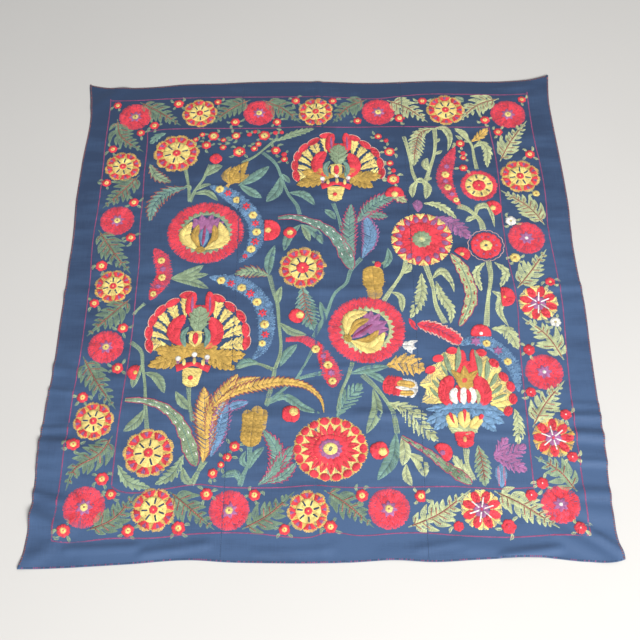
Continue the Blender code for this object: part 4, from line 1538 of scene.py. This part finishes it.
# Leaves of the field, base to tip: (colour, style)
FIELD_LEAVES = motifs(
    (("sage", "thorny"), (40, -496, 426, -472, 384, -428, 359)),
    (("teal", "thorny"), (54, -382, 340, -432, 326, -468, 290, -480, 224)),
    (("teal", "pink"), (52, 96, 84, 86, 160, 88, 210, 94, 276),
     (56, 108, 210, 150, 264, 190, 290, 234, 306)),
    (("pale", "pink"), (36, 204, 306, 225, 298, 254, 278)),
    (("teal", "pink"), (34, 124, 236, 162, 236, 198, 230),
     (48, -152, -548, -118, -520, -106, -465, -144, -402), (46, -130, -534, -98, -496, -66, -448),
     (34, -130, -542, -92, -526, -58, -492)),
    (("teal", "veined"), (64, -45, 7, -34, -60, -13, -128)),
    (("sage", "thorny"), (44, -136, 42, -186, 56, -232, 48)),
    (("teal", "sharp"), (52, 44, -374, 72, -324, 110, -282)),
    (("pale", "sharp"), (56, 172, -336, 220, -354, 254, -396, 296, -440)),
    (("sage", "sharp"), (28, -126, 504, -66, 532, -8, 550)),
    (("teal", "sharp"), (28, -456, 539, -478, 530, -500, 500)),
    (("pale", "veined"), (54, 346, 544, 306, 526, 290, 476, 280, 406)),
    (("pale", "blade"), (23, 348, 542, 376, 544, 392, 514, 389, 480, 382, 456)),
    (("pale", "plain"), (22, 409, 542, 432, 524, 446, 496), (12, 410, 516, 420, 508, 429, 496)),
    (("pale", "saw"), (32, 457, 466, 484, 486, 500, 460, 496, 424, 494, 396)),
    (("pale", "plain"), (23, 329, 384, 313, 410, 322, 434), (11, 349, 489, 363, 505),
     (12, 344, 446, 367, 460), (11, 314, 354, 330, 364), (21, 289, 354, 274, 330, 270, 294),
     (24, 301, 358, 316, 330, 308, 289), (20, 282, 356, 308, 352)),
    (("pale", "saw"), (27, 300, 274, 340, 268, 366, 249, 392, 219)),
    (("pale", "blade"), (20, 444, 224, 457, 260, 482, 262, 492, 230, 496, 186)),
    (("pale", "plain"), (17, 450, 222, 434, 222, 416, 210)),
    (("teal", "plain"), (33, -111, 372, -116, 332, -149, 286), (25, -85, 317, -42, 310, -8, 272),
     (17, -105, 384, -82, 352), (30, -232, 344, -190, 370, -143, 412),
     (26, -230, 348, -198, 324, -162, 300)),
    (("sage", "plain"), (30, -334, 378, -306, 406, -281, 416), (20, -362, 316, -322, 322, -288, 292),
     (13, -356, 328, -332, 346, -310, 351), (12, -369, 330, -374, 344, -390, 342)),
    (("teal", "plain"), (26, -50, 208, -82, 170, -96, 120), (26, -50, 208, -12, 182, 17, 138)),
    (("sage", "plain"), (20, -48, 208, -34, 180, -24, 151)),
    (("teal", "plain"), (20, 11, 257, 32, 246, 49, 223), (21, 3, -43, 12, -72, 17, -102)),
    (("sage", "plain"), (28, -405, 38, -360, 50, -318, 77), (22, -405, 38, -354, 42, -303, 49),
     (26, -405, 36, -348, 26, -300, 3)),
    (("teal", "plain"), (27, -122, 140, -136, 92, -138, 43)),
    (("sage", "plain"), (20, -101, 7, -109, -18, -111, -47), (22, -106, -103, -74, -130, -33, -141)),
    (("teal", "plain"), (24, -102, -232, -86, -198, -58, -168), (24, -156, -222, -190, -218, -218, -235),
     (23, -136, -338, -90, -316, -46, -344, 2, -364), (21, 193, 127, 195, 94, 178, 60)),
    (("pale", "plain"), (21, 228, 42, 244, 56, 257, 74), (19, 196, -15, 218, -25, 224, -76)),
    (("teal", "plain"), (22, 78, -254, 130, -242, 182, -234), (19, 118, -252, 148, -262, 172, -282)),
    (("sage", "plain"), (30, 138, -296, 146, -350, 118, -418)),
    (("teal", "plain"), (35, 192, -416, 180, -480, 141, -538)),
    (("pale", "plain"), (30, 206, -426, 212, -464, 204, -502), (22, 213, -498, 212, -526, 224, -553),
     (31, 220, -470, 248, -494, 258, -532)),
    (("sage", "plain"), (24, -460, -218, -476, -250, -482, -287),
     (26, -454, -244, -424, -256, -398, -302), (27, -446, -346, -460, -376, -494, -405),
     (25, -370, -298, -352, -326, -330, -348)),
    (("sage", "saw"), (32, -500, -492, -474, -532, -414, -552), (34, -338, -468, -360, -514, -404, -544)),
    (("sage", "plain"), (21, -338, -501, -332, -526, -312, -546)),
    (("teal", "plain"), (20, -174, -506, -162, -474, -138, -450),
     (16, -184, -460, -192, -486, -178, -502), (20, -194, -546, -206, -518, -242, -526)),
    (("pale", "blade"), (23, 310, 26, 336, 50, 359, 20, 367, -19)),
    (("pale", "saw"), (32, 319, 19, 332, -30, 354, -70, 350, -112), (40, 282, 44, 276, -26, 244, -96),
     (26, 459, 76, 434, 50, 440, -17), (26, 484, 76, 512, 46, 492, -5)),
    (("pale", "blade"), (25, 469, -16, 490, -30, 483, -74, 504, -126)),
    (("pale", "saw"), (42, 458, -128, 496, -136, 522, -190)),
    (("pale", "sharp"), (34, 494, -356, 500, -404, 492, -452)),
    (("sage", "veined"), (46, 393, -452, 400, -500, 402, -556)),
    (("pale", "saw"), (28, 366, -526, 346, -506, 330, -476)),
)


class SUZANI_OT_stems(bpy.types.Operator):
    """Stitch the stems and leaves of the field"""

    bl_idname = "suzani.stems"
    bl_label = "Stems and Field Leaves"

    def execute(self, context):
        work = ThreadWork(13)
        for points, width, colour in STEMS:
            band(work, points, width, colour, step=1.2)
        curls(work, FIELD_LEAVES)
        work.build("stems_and_leaves")
        return {"FINISHED"}


class SUZANI_OT_stage(bpy.types.Operator):
    """Set the floor, the soft lights and the camera"""

    bl_idname = "suzani.stage"
    bl_label = "Stage"

    CAMERA_PLACE = (0.02806, -1.17236, 2.10427)
    CAMERA_TURN = (27.0997, 0.87807, -0.32725)
    CAMERA_LENS = 49.77

    def execute(self, context):
        *_, stage = settings()
        scene = context.scene
        grid = bmesh.new()
        bmesh.ops.create_grid(grid, x_segments=8, y_segments=8, size=4.0)
        mesh = bpy.data.meshes.new("studio_floor")
        grid.to_mesh(mesh)
        grid.free()
        mesh.materials.append(self.floor_material(stage))
        new_object("studio_floor", mesh)
        self.add_light("near_light", stage.key_power, 2.2, (1.4, -3.8, 3.0), (0.0, -0.1, 0.0))
        self.add_light("overhead_light", stage.fill_power, 2.4, (0.3, 0.4, 2.9), (0.0, 0.0, 0.0))
        self.set_world(scene, stage)
        camera = new_object("camera", bpy.data.cameras.new("camera"))
        camera.data.lens = self.CAMERA_LENS
        camera.data.sensor_width = 36.0
        camera.location = self.CAMERA_PLACE
        camera.rotation_euler = [math.radians(angle) for angle in self.CAMERA_TURN]
        scene.camera = camera
        scene.view_settings.view_transform = "Standard"
        return {"FINISHED"}

    def floor_material(self, stage):
        material, work, shader = new_material("pale_floor")
        cloud = work.noise(work.place(), 1.5, 3.0)
        lighter = [c * 1.06 for c in stage.floor_colour]
        work.feed(shader, {"Base Color": work.mix(cloud, stage.floor_colour, lighter), "Roughness": 0.8})
        return material

    def add_light(self, name, power, size, place, target):
        light = new_object(name, bpy.data.lights.new(name, "AREA"))
        light.data.energy = power
        light.data.size = size
        light.location = place
        light.rotation_euler = (Vector(target) - Vector(place)).to_track_quat("-Z", "Y").to_euler()

    def set_world(self, scene, stage):
        scene.world = bpy.data.worlds.new("studio")
        scene.world.use_nodes = True
        background = scene.world.node_tree.nodes["Background"]
        background.inputs["Color"].default_value = (0.93, 0.96, 1.0, 1.0)
        background.inputs["Strength"].default_value = stage.sky_strength


PROPERTY_GROUPS = {
    "suzani_colours": SuzaniThreadColours,
    "suzani_finish": SuzaniClothFinish,
    "suzani_stitches": SuzaniStitchSizes,
    "suzani_stage": SuzaniStage,
}
OPERATORS = (
    SUZANI_OT_stage,
    SUZANI_OT_panels,
    SUZANI_OT_border_rosettes,
    SUZANI_OT_border_leaves,
    SUZANI_OT_florets,
    SUZANI_OT_lines,
    SUZANI_OT_field_rosettes,
    SUZANI_OT_palmettes,
    SUZANI_OT_botehs,
    SUZANI_OT_stems,
)


class SUZANI_PT_sidebar(bpy.types.Panel):
    """Lists the cloth's steps and settings"""

    bl_idname = "SUZANI_PT_sidebar"
    bl_label = "Suzani Cloth"
    bl_space_type = "VIEW_3D"
    bl_region_type = "UI"
    bl_category = "Suzani"

    def draw(self, context):
        for operator in OPERATORS:
            self.layout.operator(operator.bl_idname)
        for name, group in PROPERTY_GROUPS.items():
            box = self.layout.box()
            for prop in group.__annotations__:
                box.prop(getattr(context.scene, name), prop)


def register():
    for group in PROPERTY_GROUPS.values():
        bpy.utils.register_class(group)
    for name, group in PROPERTY_GROUPS.items():
        setattr(bpy.types.Scene, name, PointerProperty(type=group))
    for operator in OPERATORS:
        bpy.utils.register_class(operator)
    bpy.utils.register_class(SUZANI_PT_sidebar)


def unregister():
    bpy.utils.unregister_class(SUZANI_PT_sidebar)
    for operator in reversed(OPERATORS):
        bpy.utils.unregister_class(operator)
    for name in PROPERTY_GROUPS:
        delattr(bpy.types.Scene, name)
    for group in reversed(list(PROPERTY_GROUPS.values())):
        bpy.utils.unregister_class(group)


def main():
    register()
    for operator in OPERATORS:
        group, name = operator.bl_idname.split(".")
        getattr(getattr(bpy.ops, group), name)()


if __name__ == "__main__":
    main()
